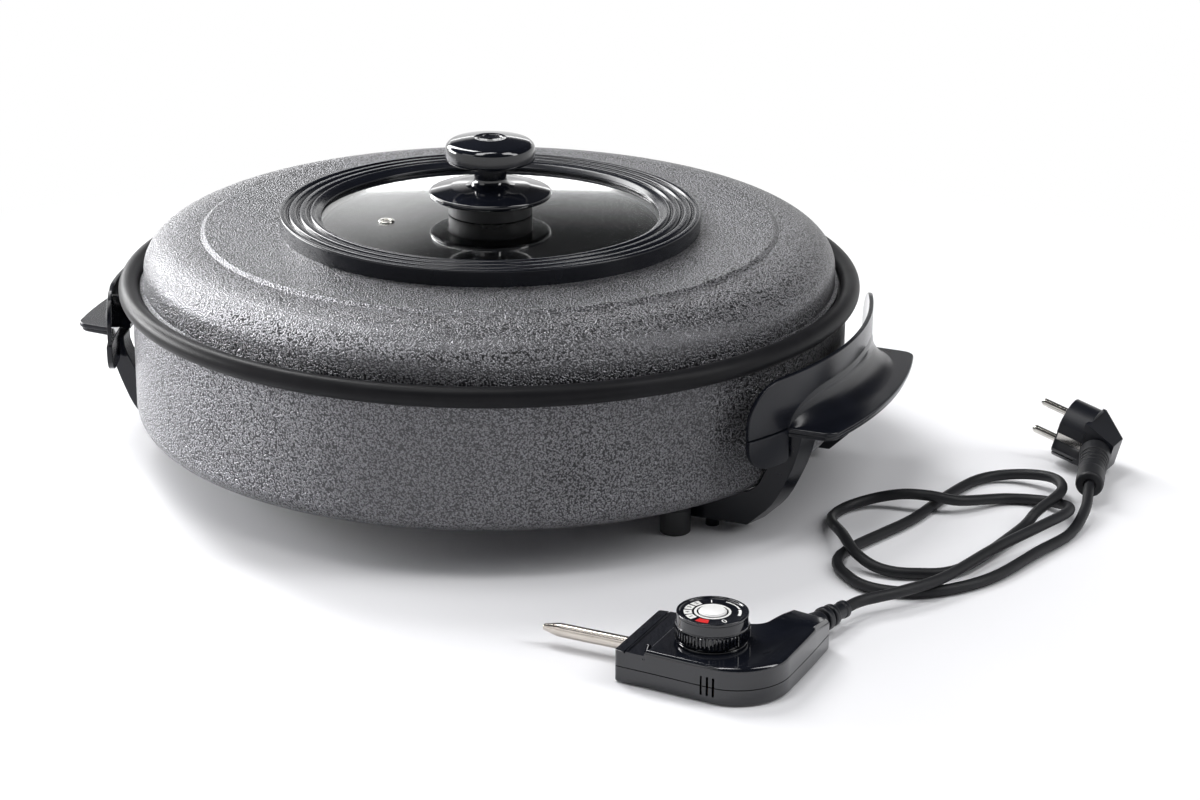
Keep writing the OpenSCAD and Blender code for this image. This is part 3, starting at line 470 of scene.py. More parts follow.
def from_node(node, bevel, angle):
    """A merged copy of a frame node, in millimetres, with its hard edges softened."""
    bm = bmesh.new()
    bm.from_mesh(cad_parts[node].data)
    resize(bm, 1 / MM)
    merge(bm, 2e-3)
    bmesh.ops.dissolve_limit(bm, angle_limit=math.radians(1), verts=bm.verts[:], edges=bm.edges[:])
    soften(bm, sharp_edges(bm, angle), bevel)
    return bm


def absorb(bm, other):
    """Adds the other shape to the first."""
    mesh = as_mesh(other, "part")
    bm.from_mesh(mesh)
    bpy.data.meshes.remove(mesh)
    return bm


def moved(bm, matrix):
    """Carries the shape along by a matrix."""
    bmesh.ops.transform(bm, matrix=matrix, verts=bm.verts[:])
    return bm


def turn(axis, degrees):
    return Matrix.Rotation(math.radians(degrees), 4, axis)


def shift(x, y, z=0):
    return Matrix.Translation((x, y, z))


def around(radius, degrees):
    """The (x, y) place at a radius and an angle in degrees round the Z axis."""
    return radius * math.cos(math.radians(degrees)), radius * math.sin(math.radians(degrees))


def lengthen(bm, faces, run):
    """Pushes faces along run and takes their edges with them."""
    made = bmesh.ops.extrude_face_region(bm, geom=faces)
    bmesh.ops.translate(bm, vec=run, verts=[v for v in made["geom"] if isinstance(v, bmesh.types.BMVert)])


def thicken(bm, run):
    """Pushes a flat shape along run into a solid."""
    lengthen(bm, bm.faces[:], run)
    turn_out(bm)
    return bm


def slice_at(bm, axis, places):
    """Cuts a solid's faces across an axis, so that it can bend or step there."""
    normal = Vector([1.0 if i == axis else 0.0 for i in range(3)])
    for place in places:
        everything = bm.verts[:] + bm.edges[:] + bm.faces[:]
        bmesh.ops.bisect_plane(bm, geom=everything, dist=1e-5, plane_co=normal * place, plane_no=normal)


def spread(low, high, step):
    """Even places between two ends."""
    count = max(1, round((high - low) / step))
    return [low + (high - low) * (i + 0.5) / count for i in range(count)]


def wrapped(bm, radius):
    """Bends an upright plate around the pan: x is the depth outside the radius."""
    for vert in bm.verts:
        angle, out = math.asin(vert.co.y / radius), radius + vert.co.x
        vert.co = (out * math.cos(angle), out * math.sin(angle), vert.co.z)
    return bm


def curved(bm):
    """Makes x the distance from the pan's axis, with y kept."""
    for vert in bm.verts:
        vert.co.x = math.sqrt(max(0.0, vert.co.x**2 - vert.co.y**2))
    return bm


def shape_of(curve, gap):
    """The solid that a curve or a text makes, its points merged within a gap."""
    holder = as_object("shape", curve)
    mesh = bpy.data.meshes.new_from_object(holder.evaluated_get(bpy.context.evaluated_depsgraph_get()))
    bpy.data.objects.remove(holder)
    bm = bmesh.new()
    bm.from_mesh(mesh)
    bpy.data.meshes.remove(mesh)
    merge(bm, gap)
    return bm


def carve(bm, *cutters):
    """Takes the cutters' shapes away from the first shape."""
    for cutter in cutters:
        made = [as_object("shape", as_mesh(shape, "shape")) for shape in (bm, cutter)]
        cut = made[0].modifiers.new("cut", "BOOLEAN")
        cut.operation, cut.object, cut.solver = "DIFFERENCE", made[1], "EXACT"
        bm = bmesh.new()
        bm.from_object(made[0], bpy.context.evaluated_depsgraph_get())
        for obj in made:
            mesh = obj.data
            bpy.data.objects.remove(obj)
            bpy.data.meshes.remove(mesh)
        merge(bm, 0.004)
        bmesh.ops.dissolve_degenerate(bm, edges=bm.edges[:], dist=0.004)
    return bm


def pillar(radius, z0, z1, at=(0, 0)):
    """An upright round bar."""
    return moved(turned([(0, z0), (radius, z0), (radius, z1), (0, z1)], 32), shift(*at))


def piece(bm, name, finishes, body, nodes=(), sharp=32):
    """Turns a shape in millimetres into a finished piece on a body."""
    resize(bm, MM)
    mesh = as_mesh(bm, name)
    mesh.shade_smooth()
    mesh.set_sharp_from_angle(angle=math.radians(sharp))
    for name_of_finish in [finishes] if isinstance(finishes, str) else finishes:
        mesh.materials.append(finish(name_of_finish))
    made = as_object(name, mesh)
    even = made.modifiers.new("even_shading", "WEIGHTED_NORMAL")
    even.mode, even.weight, even.keep_sharp = "FACE_AREA", 50, True
    if body:
        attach(made, body)
    if nodes:
        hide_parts(*nodes)
    return made


def dress(**finishes):
    """Gives frame nodes that keep their shape a finish: each finish with its nodes, apart by spaces."""
    for name, nodes in finishes.items():
        for node in nodes.split():
            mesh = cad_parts[node].data
            mesh.materials.clear()
            mesh.materials.append(finish(name))


def paint(bm, rule):
    """Gives each face the piece's second finish where the rule holds for its middle and normal."""
    for face in bm.faces:
        face.material_index = int(rule(face.calc_center_median(), face.normal))


def in_mm(settings, *names):
    """Lengths from a group of settings, in millimetres."""
    return [getattr(settings, name) / MM for name in names]


# ------------------------------------------------------------------ places, in millimetres
# From the pan's axis: the heat shields' backs and the handle screws.
SHIELD_RADIUS = 231
SCREW_RADIUS = 227.5
# The control, the height of its case's seam, and the boot where its cord leaves.
CONTROL_AT = shift(244.5, -265) @ turn("Z", -3)
SEAM = 9.5
RELIEF_AT = CONTROL_AT @ shift(29.5, 63, SEAM) @ turn("Z", 74.5)
RELIEF_LENGTH = 31
# The plug, and its cord boot in the plug's own frame.
PLUG_AT = shift(336, 112, 23.3) @ turn("Z", -7) @ turn("Y", 15)
PLUG_RELIEF_FROM = Vector((26, -14, 0))
PLUG_RELIEF_TO = Vector((40, -60, 0))
PLUG_RELIEF_RUN = PLUG_RELIEF_TO - PLUG_RELIEF_FROM
PLUG_RELIEF_AT = (
    PLUG_AT @ shift(*PLUG_RELIEF_FROM)
    @ turn("Z", math.degrees(math.atan2(PLUG_RELIEF_RUN.y, PLUG_RELIEF_RUN.x)))
)
# Points that the cord's middle line passes, from the control to the plug.
CORD_ROUTE = [
    (293, -160, 9.6), (309, -141, 10.1), (325, -114, 10.4), (339, -65, 10.4), (356, -25, 12.3),
    (365, 4, 11.8), (358.5, 25, 7.2), (341.5, 34.5, 4.1), (321, 30, 3.7), (300, 6, 7.8), (284, -1, 10.9),
    (267, -2, 9.7), (250, -8, 6.1), (237.6, -23, 3.6), (237, -44, 4.3), (254, -76, 10.2), (269, -96, 8.1),
    (285, -103, 4.6), (304, -100, 3.7), (326, -82, 3.5), (342, -17, 4.6), (347, 3, 9.5), (354, 33, 12.8),
    (342, 60, 9.4), (319, 67, 5.7), (298, 54, 3.6), (287, 17, 3.5), (279, -25, 3.4), (258, -91, 3.7),
    (274, -121, 3.6), (296, -129, 3.6), (322, -119, 3.6), (345, -89, 3.5), (360, -43, 4.2), (370, -8, 3.8),
    (371.5, 21, 8.4),
]


def smooth_route(points, steps):
    """Points along a smooth curve through the route's points."""
    out = []
    for i in range(len(points) - 1):
        a, b, c, d = (points[min(max(k, 0), len(points) - 1)] for k in (i - 1, i, i + 1, i + 2))
        for j in range(steps):
            t = j / steps
            out.append(0.5 * (
                2 * b + (c - a) * t + (2 * a - 5 * b + 4 * c - d) * t**2 + (3 * b - a - 3 * c + d) * t**3
            ))
    return out + [points[-1]]


def cord_line(steps):
    """The cord's middle line, from inside the control's boot to inside the plug's boot."""
    start = [RELIEF_AT @ Vector((RELIEF_LENGTH + run, 0, 0)) for run in (-1.2, 4)]
    length = PLUG_RELIEF_RUN.length
    end = [PLUG_RELIEF_AT @ Vector((length + run, 0, 0)) for run in (5, -1.7)]
    return smooth_route(start + [Vector(p) for p in CORD_ROUTE] + end, steps)


# ------------------------------------------------------------------ operators
class Maker:
    """What every operator here shares."""

    bl_options = {"REGISTER", "UNDO"}

    def execute(self, context):
        self.make(context.scene)
        return {"FINISHED"}


# Each lamp: its name, place, aim, width and height in metres, and power in watts.
LAMPS = (
    ("left_softbox", (-1.41, 0.75, 1.30), (0, 0, 0.12), 0.5, 2.4, 56),
    ("front_softbox", (-1.5, -1.9, 1.5), (0, 0, 0.1), 1.6, 1.0, 7),
    ("top_softbox", (-0.2, -0.55, 2.35), (0, -0.1, 0.12), 0.5, 1.7, 20),
    ("right_softbox", (1.33, 0.1, 1.32), (0, 0, 0.12), 0.45, 1.7, 15),
    ("low_softbox", (-1.57, -0.02, 0.36), (0, 0, 0.06), 0.9, 0.45, 28),
    ("back_softbox", (-1.25, 2.75, 0.86), (0, 0, 0.14), 2.6, 0.1, 2.5),
)


class SetStage(Maker, bpy.types.Operator):
    """Set up the camera, the pale floor and the lamps"""

    bl_idname = "electric_pan.stage"
    bl_label = "Stage"

    def make(self, scene):
        s = scene.pan_stage
        view = bpy.data.cameras.new("camera")
        view.lens, view.sensor_width, view.sensor_fit = s.lens, 36, "HORIZONTAL"
        view.clip_start, view.clip_end = 0.05, 50
        level = math.cos(s.dip)
        ahead = Vector((math.cos(s.heading) * level, math.sin(s.heading) * level, -math.sin(s.dip)))
        scene.camera = self.stand("camera", view, s.place, ahead, s.roll)
        scene.view_settings.view_transform = "Standard"
        self.floor(scene)
        self.world(scene)
        for name, place, aim, width, height, power in LAMPS:
            lamp = bpy.data.lights.new(name, "AREA")
            lamp.shape, lamp.size, lamp.size_y = "RECTANGLE", width, height
            lamp.energy = power * s.lamps
            holder = self.stand(name, lamp, place, Vector(aim) - Vector(place), 0)
            holder.visible_camera = False

    def stand(self, name, data, place, ahead, roll):
        """Stands a camera or a lamp at a place, looking ahead."""
        holder = as_object(name, data)
        holder.location = place
        holder.rotation_mode = "QUATERNION"
        upright = ahead.to_track_quat("-Z", "Y")
        holder.rotation_quaternion = upright @ Matrix.Rotation(roll, 4, "Z").to_quaternion()
        return holder

    def floor(self, scene):
        """A pale table, which the camera sees fading to white away from the pan."""
        half_side = 14
        middle, fade_from, fade_to = (0.07, -0.04, 0), 0.27, 0.72
        bm = bmesh.new()
        bmesh.ops.create_grid(bm, x_segments=1, y_segments=1, size=half_side)
        mesh = as_mesh(bm, "table")
        f = Finish("pale_table").plain(Roughness=0.55, Specular_IOR_Level=0.25)
        shade = tuple(scene.pan_colours.floor)
        f.colour(f.ramp(f.noise(6, 2), [(0.3, tinted(shade, 0.995)), (0.7, shade)]))
        far = f.join(f.place, f.add("ShaderNodeVectorMath", operation="DISTANCE"), 0)
        far.inputs[1].default_value = middle
        fade = f.ranged(far.outputs["Value"], "SMOOTHSTEP", From_Min=fade_from, From_Max=fade_to)
        path = f.add("ShaderNodeLightPath").outputs
        seen = f.math("MAXIMUM", path["Is Camera Ray"], f.mirror_rays(path))
        glow = f.fill(f.add("ShaderNodeEmission"), Color=(1, 1, 1, 1))
        share = f.math("MULTIPLY", fade, seen)
        f.mixed(share, f.shader.outputs["BSDF"], glow.outputs["Emission"], "Material Output")
        mesh.materials.append(f.material)
        table = as_object("table", mesh)

    def world(self, scene):
        """A dim room with a white backdrop, which mirrors see up to the height where it ends."""
        backdrop_side, side_lift = (-0.914, -0.407, 0), 0.05
        fade_from, fade_to = 0.19, 0.31
        light, mirrored_light = 0.13, 0.03
        world = bpy.data.worlds.new("studio")
        world.use_nodes = True
        scene.world = world
        w = Nodes(world.node_tree)
        room = w.fill(w.nodes["Background"], Color=(0.95, 0.96, 1, 1))
        white = w.fill(w.add("ShaderNodeBackground"), Color=(1, 1, 1, 1))
        way = w.add("ShaderNodeTexCoord").outputs["Generated"]
        parts = w.join(way, w.add("ShaderNodeSeparateXYZ"), "Vector")
        side = w.join(way, w.add("ShaderNodeVectorMath", operation="DOT_PRODUCT"), 0)
        side.inputs[1].default_value = backdrop_side
        lift = w.ranged(side.outputs["Value"], From_Min=-0.01, From_Max=0.05, To_Min=0, To_Max=side_lift)
        height = w.math("SUBTRACT", parts.outputs["Z"], lift)
        low = w.ranged(height, "SMOOTHSTEP", From_Min=fade_from, From_Max=fade_to, To_Min=1, To_Max=0)
        path = w.add("ShaderNodeLightPath").outputs
        mirror = w.mirror_rays(path)
        w.join(w.ranged(mirror, To_Min=light, To_Max=mirrored_light), room, "Strength")
        seen = w.math("MAXIMUM", path["Is Camera Ray"], w.math("MULTIPLY", mirror, low))
        w.mixed(seen, room.outputs["Background"], white.outputs["Background"], "World Output")


class MakeCord(Maker, bpy.types.Operator):
    """Lay the mains cord from the control to the plug"""

    bl_idname = "electric_pan.cord"
    bl_label = "Cord"

    def make(self, scene):
        s = scene.pan_cord
        line = [p * MM for p in cord_line(6)]
        curve = bpy.data.curves.new("cord_line", "CURVE")
        curve.dimensions, curve.bevel_depth = "3D", s.diameter / 2
        curve.bevel_resolution, curve.use_fill_caps = max(0, s.sides // 4 - 1), True
        spline = curve.splines.new("POLY")
        spline.points.add(len(line) - 1)
        for point, place in zip(spline.points, line):
            point.co = (*place, 1)
        bm = shape_of(curve, 1e-6)
        turn_out(bm)
        resize(bm, 1 / MM)
        cord = piece(bm, "mains_cord", "rubber", None, ["cord"], sharp=60)
        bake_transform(cord)
        length = sum((b - a).length for a, b in zip(line, line[1:]))
        tuple(line[0])
        [tuple(p) for p in line]


class MakePlug(Maker, bpy.types.Operator):
    """Make the plug and the ribbed boot where the cord enters it"""

    bl_idname = "electric_pan.plug"
    bl_label = "Plug"

    def make(self, scene):
        shell = from_node("plug_body", 1.0, 28)
        piece(shell, "plug_shell", "satin", BASE, ["plug_body"])
        run = PLUG_RELIEF_RUN.length
        # A collar, four ribs and a sleeve with a hollow end, as (radius, distance from the plug).
        corners = [(0, 3), (9.6, 3, 0.6), (9, 12.4, 0.5)]
        for i in range(4):
            z, thinner = 13 + 4.4 * i, 0.2 * i
            corners += [(8.0, z - 0.1, 0.3), (8.0, z + 1.7, 0.3)]
            corners += [(8.85 - thinner, z + 1.9, 0.5), (8.75 - thinner, z + 4.1, 0.5)]
        corners += [(7.9, run - 15, 0.3), (8.4, run - 13, 0.8), (8.4, run - 1.4, 1.2), (7.4, run, 0.6)]
        corners += [(3.6, run, 0.4), (3.3, run - 2, 0), (0, run - 2)]
        boot = moved(turned(corners, 48, 3), PLUG_RELIEF_AT @ turn("Y", 90))
        piece(boot, "plug_boot", "rubber", BASE, ["plug_relief"])
        dress(nickel="plug_pins plug_earth_clips")


class MakePan(Maker, bpy.types.Operator):
    """Spin the pan with its rolled rim"""

    bl_idname = "electric_pan.pan"
    bl_label = "Pan"

    def make(self, scene):
        s = scene.pan_sizes
        rim, wall, inner = in_mm(s, "rim_radius", "wall_radius", "inner_radius")
        low, floor, height, roll = in_mm(s, "underside", "floor", "rim_height", "rim_roll")
        # Underside, wall and rolled rim, then the inside down to the cooking floor.
        corners = [
            (0, low), (wall, low, 12), (wall, height - roll + 0.1, 1),
            (rim, height - roll, roll - 0.1), (rim, height + roll, roll - 0.1),
            (rim - 2 * roll, height + roll, roll - 0.1), (rim - 2 * roll, height + 0.35, 0.6),
            (inner, height + 0.35, 0.6), (inner, floor, 10), (0, floor),
        ]
        bm = turned(corners, s.steps, 10)

        def lined(middle, normal):
            out = math.hypot(middle.x, middle.y)
            beside_or_under = out > wall - 4 or middle.z < low + 3
            below_rim = middle.z < height - roll + 0.3 and out <= wall + 0.3
            return not (beside_or_under and below_rim and normal.z < 0.5)

        paint(bm, lined)
        piece(bm, "pan_body", ["hammered", "lining"], BASE, ["pan"])


class MakeLid(Maker, bpy.types.Operator):
    """Spin the lid's pressed sheet"""

    bl_idname = "electric_pan.lid"
    bl_label = "Lid"

    def make(self, scene):
        s = scene.lid_sizes
        edge, wall, step = in_mm(s, "edge_radius", "wall_radius", "step_radius")
        seat, foot, top, sheet = in_mm(s, "seat", "shoulder_foot", "top", "sheet")
        hole, flat = 108, 140
        outer = arc(step + 1.4, foot, wall - step - 1.4, top - 1.1 - foot, 0, 90, 20)
        inner = arc(step, foot, wall - step - sheet, top - 1.1 - foot - sheet, 90, 0, 20)
        # Flat edge, upright wall, shoulder, step and top, then the same from inside.
        corners = [(wall - sheet, seat), (edge, seat, 0.5), (edge, seat + 1.3, 0.5), (wall, seat + 1.6, 0.7)]
        corners += [*outer[:-1], (*outer[-1], 0.4), (step - 1.3, top + 0.85, 0.5)]
        corners += [(step - 3.8, top + 0.8, 0.5), (flat, top, 0), (hole, top), (hole, top - sheet)]
        corners += [(flat, top - sheet), (step - 3, top - sheet + 0.4)]
        corners += inner
        bm = turned(corners, scene.pan_sizes.steps, 3)
        piece(bm, "lid_sheet", "hammered", LID, ["lid_shell"])


class MakeWindow(Maker, bpy.types.Operator):
    """Spin the window's grooved ring and its glass, and set the steam vent"""

    bl_idname = "electric_pan.window"
    bl_label = "Window"

    def make(self, scene):
        s = scene.lid_sizes
        low, out, opening = in_mm(s, "top", "ring_radius", "opening")
        tall, thick, rise, glass_edge = in_mm(s, "ring_height", "glass", "glass_rise", "glass_edge")
        high = low + tall
        steps = scene.pan_sizes.steps
        # Outer side, three grooves, the lip round the glass and the seat under it.
        corners = [(out, low), (out, high, 1.3)]
        for crest in (out - 3.4, out - 9.8, out - 16.2):
            corners += [(crest, high, 0.9), (crest - 1.5, high - 2.1, 0.7), (crest - 3.0, high, 0.9)]
        corners += [(opening + 3.6, high - 0.1, 1.6), (opening, glass_edge + 1.5, 0.5)]
        corners += [(opening, glass_edge + 0.3), (opening + 3.9, glass_edge + 0.3), (opening + 3.9, low)]
        ring = turned(corners, steps, 4)
        piece(ring, "window_frame", "moulded", LID, ["window_ring"])

        def dome(radius, drop):
            return glass_edge + rise * (1 - (radius / opening) ** 2) - drop

        radii = [opening * i / 8 for i in range(9)]
        corners = [(r, dome(r, 0)) for r in radii]
        corners += [(opening + 3.5, glass_edge, 0.3), (opening + 3.5, glass_edge - thick, 0.3)]
        corners += [(r, dome(r, thick)) for r in reversed(radii)]
        piece(turned(corners, steps, 2), "window_pane", "glass", LID, ["window_glass"])

        x, y = -50, -41
        top = dome(math.hypot(x, y), 0)
        # A tube through the glass, with a flange above it.
        corners = [(2.2, top - 4), (2.2, top + 1, 0.5), (4.9, top + 1, 0.6), (4.9, top + 0.1, 0.2)]
        corners += [(3.3, top + 0.05), (3.3, top - 3.9)]
        vent = moved(turned(corners, 40, 3), shift(x, y))
        piece(vent, "steam_vent", "nickel", LID, ["vent_eyelet"])


class MakeKnob(Maker, bpy.types.Operator):
    """Spin the lid's knob and its finger guard"""

    bl_idname = "electric_pan.knob"
    bl_label = "Knob"

    def make(self, scene):
        s = scene.lid_sizes
        foot, top, r, guard = in_mm(s, "cap_foot", "cap_top", "cap_radius", "guard_radius")
        glass = sum(in_mm(s, "glass_edge", "glass_rise"))
        neck, disc = 9.8, foot - 15
        flare = arc(neck + 5, disc + 5, 5, 5, 270, 180, 7)
        # Neck with a flared foot, then the cap's underside, edge and crown, with a dish in its middle.
        corners = [(0, disc - 0.3), (neck + 5.4, disc - 0.3), *flare, (neck, foot + 0.2, 1.0)]
        corners += [(r - 3, foot, 1.0), (r, foot + 0.9, 1.3), (r, top - 5.8, 1.2), (r - 2.2, top - 3.4, 1.2)]
        corners += [(r - 9, top - 1.4, 8), (9.6, top - 0.7, 0.8), (7.6, top - 1.0, 0.4), (7.3, top - 2.0)]
        corners += [(0, top - 2.0)]
        piece(turned(corners, 128, 6), "knob_cap", "gloss", LID, ["knob_grip"])
        # A button in the dish.
        corners = [(0, top - 2.6), (7.0, top - 2.6), (7.0, top - 1.5, 0.2), (6.2, top - 1.6, 0.2)]
        corners += [(2.4, top - 2.0, 0.6), (0, top - 2.0)]
        piece(turned(corners, 64, 2), "knob_cap_button", "gloss", LID, ["knob_cap_plug"])
        foot_in, foot_out = 22.6, 25.4
        # A hollow stem on the glass, then the guard's underside, edge and flared top.
        corners = [(foot_in, glass + 0.1), (foot_out, glass + 0.1, 0.4), (foot_out, disc - 7, 1.0)]
        corners += [(guard - 1.4, disc - 7, 1.0), (guard, disc - 5.8, 0.9), (guard - 0.2, disc - 3.4, 0.8)]
        corners += [(guard - 5, disc - 2.0, 8), (guard - 14, disc - 0.5, 12), (neck + 4.6, disc, 1)]
        corners += [(0, disc), (0, disc - 6.5), (foot_in, disc - 6.5, 0.5)]
        bm = turned(corners, 128, 6)
        paint(bm, lambda middle, normal: middle.z < disc - 7.2)
        piece(bm, "finger_guard", ["gloss", "matt"], LID, ["knob_guard"])


class MakeHandles(Maker, bpy.types.Operator):
    """Make both handles with their heat shields and leg brackets"""

    bl_idname = "electric_pan.handles"
    bl_label = "Handles"

    def make(self, scene):
        for side, about in (("right", 0), ("left", 180)):
            grip = moved(self.grip(), turn("Z", about))
            paint(grip, self.faces_the_pan)
            finishes, node = ["moulded", "gloss"], f"handle_{side}"
            piece(grip, f"grip_{side}", finishes, BASE, [node], sharp=40)
            legs, node = moved(self.bracket(), turn("Z", about)), f"bracket_{side}"
            piece(legs, f"leg_frame_{side}", "moulded", BASE, [node], sharp=40)

    def faces_the_pan(self, middle, normal):
        """Whether a face lies on the shield's back, above the lip."""
        return math.hypot(middle.x, middle.y) < SHIELD_RADIUS + 0.2 and middle.z > 73.5

    def plate(self, corners, depth, rim, step=6.0):
        """An upright plate from (y, z, rounding) corners, its rim softened, sliced so that it can bend."""
        bm = thicken(flat_shape(corners, lambda y, z: (0, y, z), 9), (depth, 0, 0))
        ends = [c[0] for c in corners]
        slice_at(bm, 1, spread(min(ends), max(ends), step))
        soften(bm, sharp_edges(bm, 50), rim)
        return bm

    def bar(self, section, y0, y1, rim, step, fade=None):
        """A bar with an (out, up) section along Y, bent around the pan.

        Fade is (x, z, even): past even, the bar's ends shrink to the point (x, z).
        """
        bm = thicken(flat_shape(section, lambda x, z: (x, y0, z), 6), (0, y1 - y0, 0))
        if y1 - y0 > 2 * step:
            slice_at(bm, 1, spread(y0, y1, step))
        if fade:
            x, z, even = fade
            for vert in bm.verts:
                late = max(0, (abs(vert.co.y) - even) / (y1 - even))
                share = 0.05 + 0.95 * math.sqrt(max(0, 1 - late * late))
                vert.co.x = x + (vert.co.x - x) * share
                vert.co.z = z + (vert.co.z - z) * share
        if rim:
            soften(bm, sharp_edges(bm, 50), rim)
        return curved(bm)

    def grip(self):
        """One handle: a heat shield, a slab of two layers, a cove between them, a lip and two bosses."""
        half, shield, under, top = 79, 107, 65.0, 70.4
        reach, bow_radius, bow_angle, back_radius = 258, 290, 15.6, 232.4
        corners = [(-shield, 70.2), (shield, 70.2), (shield, 101.5, 24), (-shield, 101.5, 24)]
        bm = wrapped(self.plate(corners, 2.7, 0.8), SHIELD_RADIUS)
        turns = [math.radians(-bow_angle + 2 * bow_angle * i / 16) for i in range(17)]
        bow = [(reach - bow_radius + bow_radius * math.cos(t), bow_radius * math.sin(t)) for t in turns]
        bow[0], bow[-1] = (*bow[0], 6), (*bow[-1], 6)
        across = [half - 2 * half * i / 20 for i in range(21)]
        inner = [(math.sqrt(back_radius**2 - y * y), y) for y in across]
        for low, high, back, rim in ((under, 67.6, 1.1, 0.7), (67.3, top, 0.0, 1.0)):
            edge = [(c[0] - back, c[1] * (1 - back / half), *c[2:]) for c in bow]
            slab = thicken(flat_shape(edge + inner, lambda x, y: (x, y, low), 8), (0, 0, high - low))
            soften(slab, sharp_edges(slab, 50), rim, 4)
            absorb(bm, slab)
        cove = arc(249.5, 85.4, 15, 15, 180, 270, 14)
        section = [(232.2, 92), (232.6, 92)] + [(x - 0.25 * (x < 236), z) for x, z in cove]
        section += [(249.5, 68.4), (232.2, 68.4)]
        absorb(bm, self.bar(section, 1.2 - half, half - 1.2, 0, 4, fade=(233.4, 69.8, 40)))
        lip = [(224.1, 70.05), (231.6, 70.05), (231.6, 73, 0.5), (224.1, 73, 0.5)]
        absorb(bm, self.bar(lip, -74, 74, 0, 6))
        for place in self.screws():
            section = [(1.5, 73.2), (3.4, 73.2), (3.4, 81.9, 0.6), (0, 81.9), (0, 79.2), (1.5, 79.2)]
            absorb(bm, moved(turned(section, 32, 2), shift(*place)))
        return bm

    def screws(self):
        """Where the two handle screws stand."""
        return [around(SCREW_RADIUS, angle) for angle in (-12, 12)]

    def bracket(self):
        """One leg frame: two bent legs, a web between them, a shelf and the two lower shield plates."""
        outer = [(240, 65), (238.6, 58), (236.8, 51), (234.8, 44.5), (232.2, 38), (229.6, 32)]
        outer += [(226.8, 26), (223.9, 21), (220.8, 17), (210, 6, 0.8), (155, 6, 0.8), (155, 26.4, 0.8)]
        bed = [(205, 26.3), (209.9, 27.4), (213.9, 30.2), (216.6, 34), (218.4, 38.6), (220.6, 43.6)]
        bed += [(223.6, 49), (226.4, 54), (228.2, 59), (228.5, 65)]
        bm = bmesh.new()
        for y0 in (60, -76):
            absorb(bm, self.bar(outer + bed, y0, y0 + 16, 0.9, 8))
        web = [(239.7, 65), (238.4, 58), (236.4, 50.2, 0.9), (228.2, 50.2, 0.9), (228.9, 56), (228.7, 65)]
        absorb(bm, self.bar(web, -60.6, 60.6, 0, 6))
        shelf = [(224.1, 64.1, 0.4), (230.7, 64.1), (230.7, 69.9), (224.1, 69.9, 0.4)]
        absorb(bm, self.bar(shelf, -105, 105, 0, 6))
        for out, into in ((107, 77), (-107, -77)):
            corners = [(out, 50.5, 15), (into, 50.5, 3), (into, 69.75), (out, 69.75)]
            absorb(bm, wrapped(self.plate(corners, 3.5, 0.8, 4), SHIELD_RADIUS))
        holes = [pillar(3.9, 0, 18, (172, y)) for y in (-68, 68)]
        holes += [pillar(3.4, 45, 64.9, place) for place in self.screws()]
        return carve(bm, *holes)


class MakeUnderside(Maker, bpy.types.Operator):
    """Make the feet and finish the heater and the inlet"""

    bl_idname = "electric_pan.underside"
    bl_label = "Feet and underside"

    def make(self, scene):
        s = scene.pan_sizes
        r, top, x, y = in_mm(s, "foot_radius", "underside", "foot_x", "foot_y")
        # A foot, a little narrower above, with a hole for its stud.
        corners = [(0, 0), (r, 0, 1.0), (r, 15, 0.3), (r - 0.5, 15.4, 0.2), (r - 0.5, top - 0.1, 0.3)]
        corners += [(2.1, top - 0.1), (2.1, 16), (0, 16)]
        for end, sx, sy in (
            ("front_left", -1, -1), ("front_right", 1, -1), ("rear_left", -1, 1), ("rear_right", 1, 1),
        ):
            foot = moved(turned(corners, 48, 4), shift(sx * x, sy * y))
            piece(foot, f"foot_pad_{end}", "matt", BASE, [f"foot_{end}"])
        dress(
            element="heating_element",
            zinc="element_clips clip_screws inlet_screws foot_studs handle_screws bracket_screws"
                 " retainer_screws knob_screw",
            nickel="terminal_pins",
            matt="inlet_housing",
            alloy="probe_well",
            brass="earth_blade",
            satin="window_retainer",
            silicone="window_gasket knob_washer",
        )


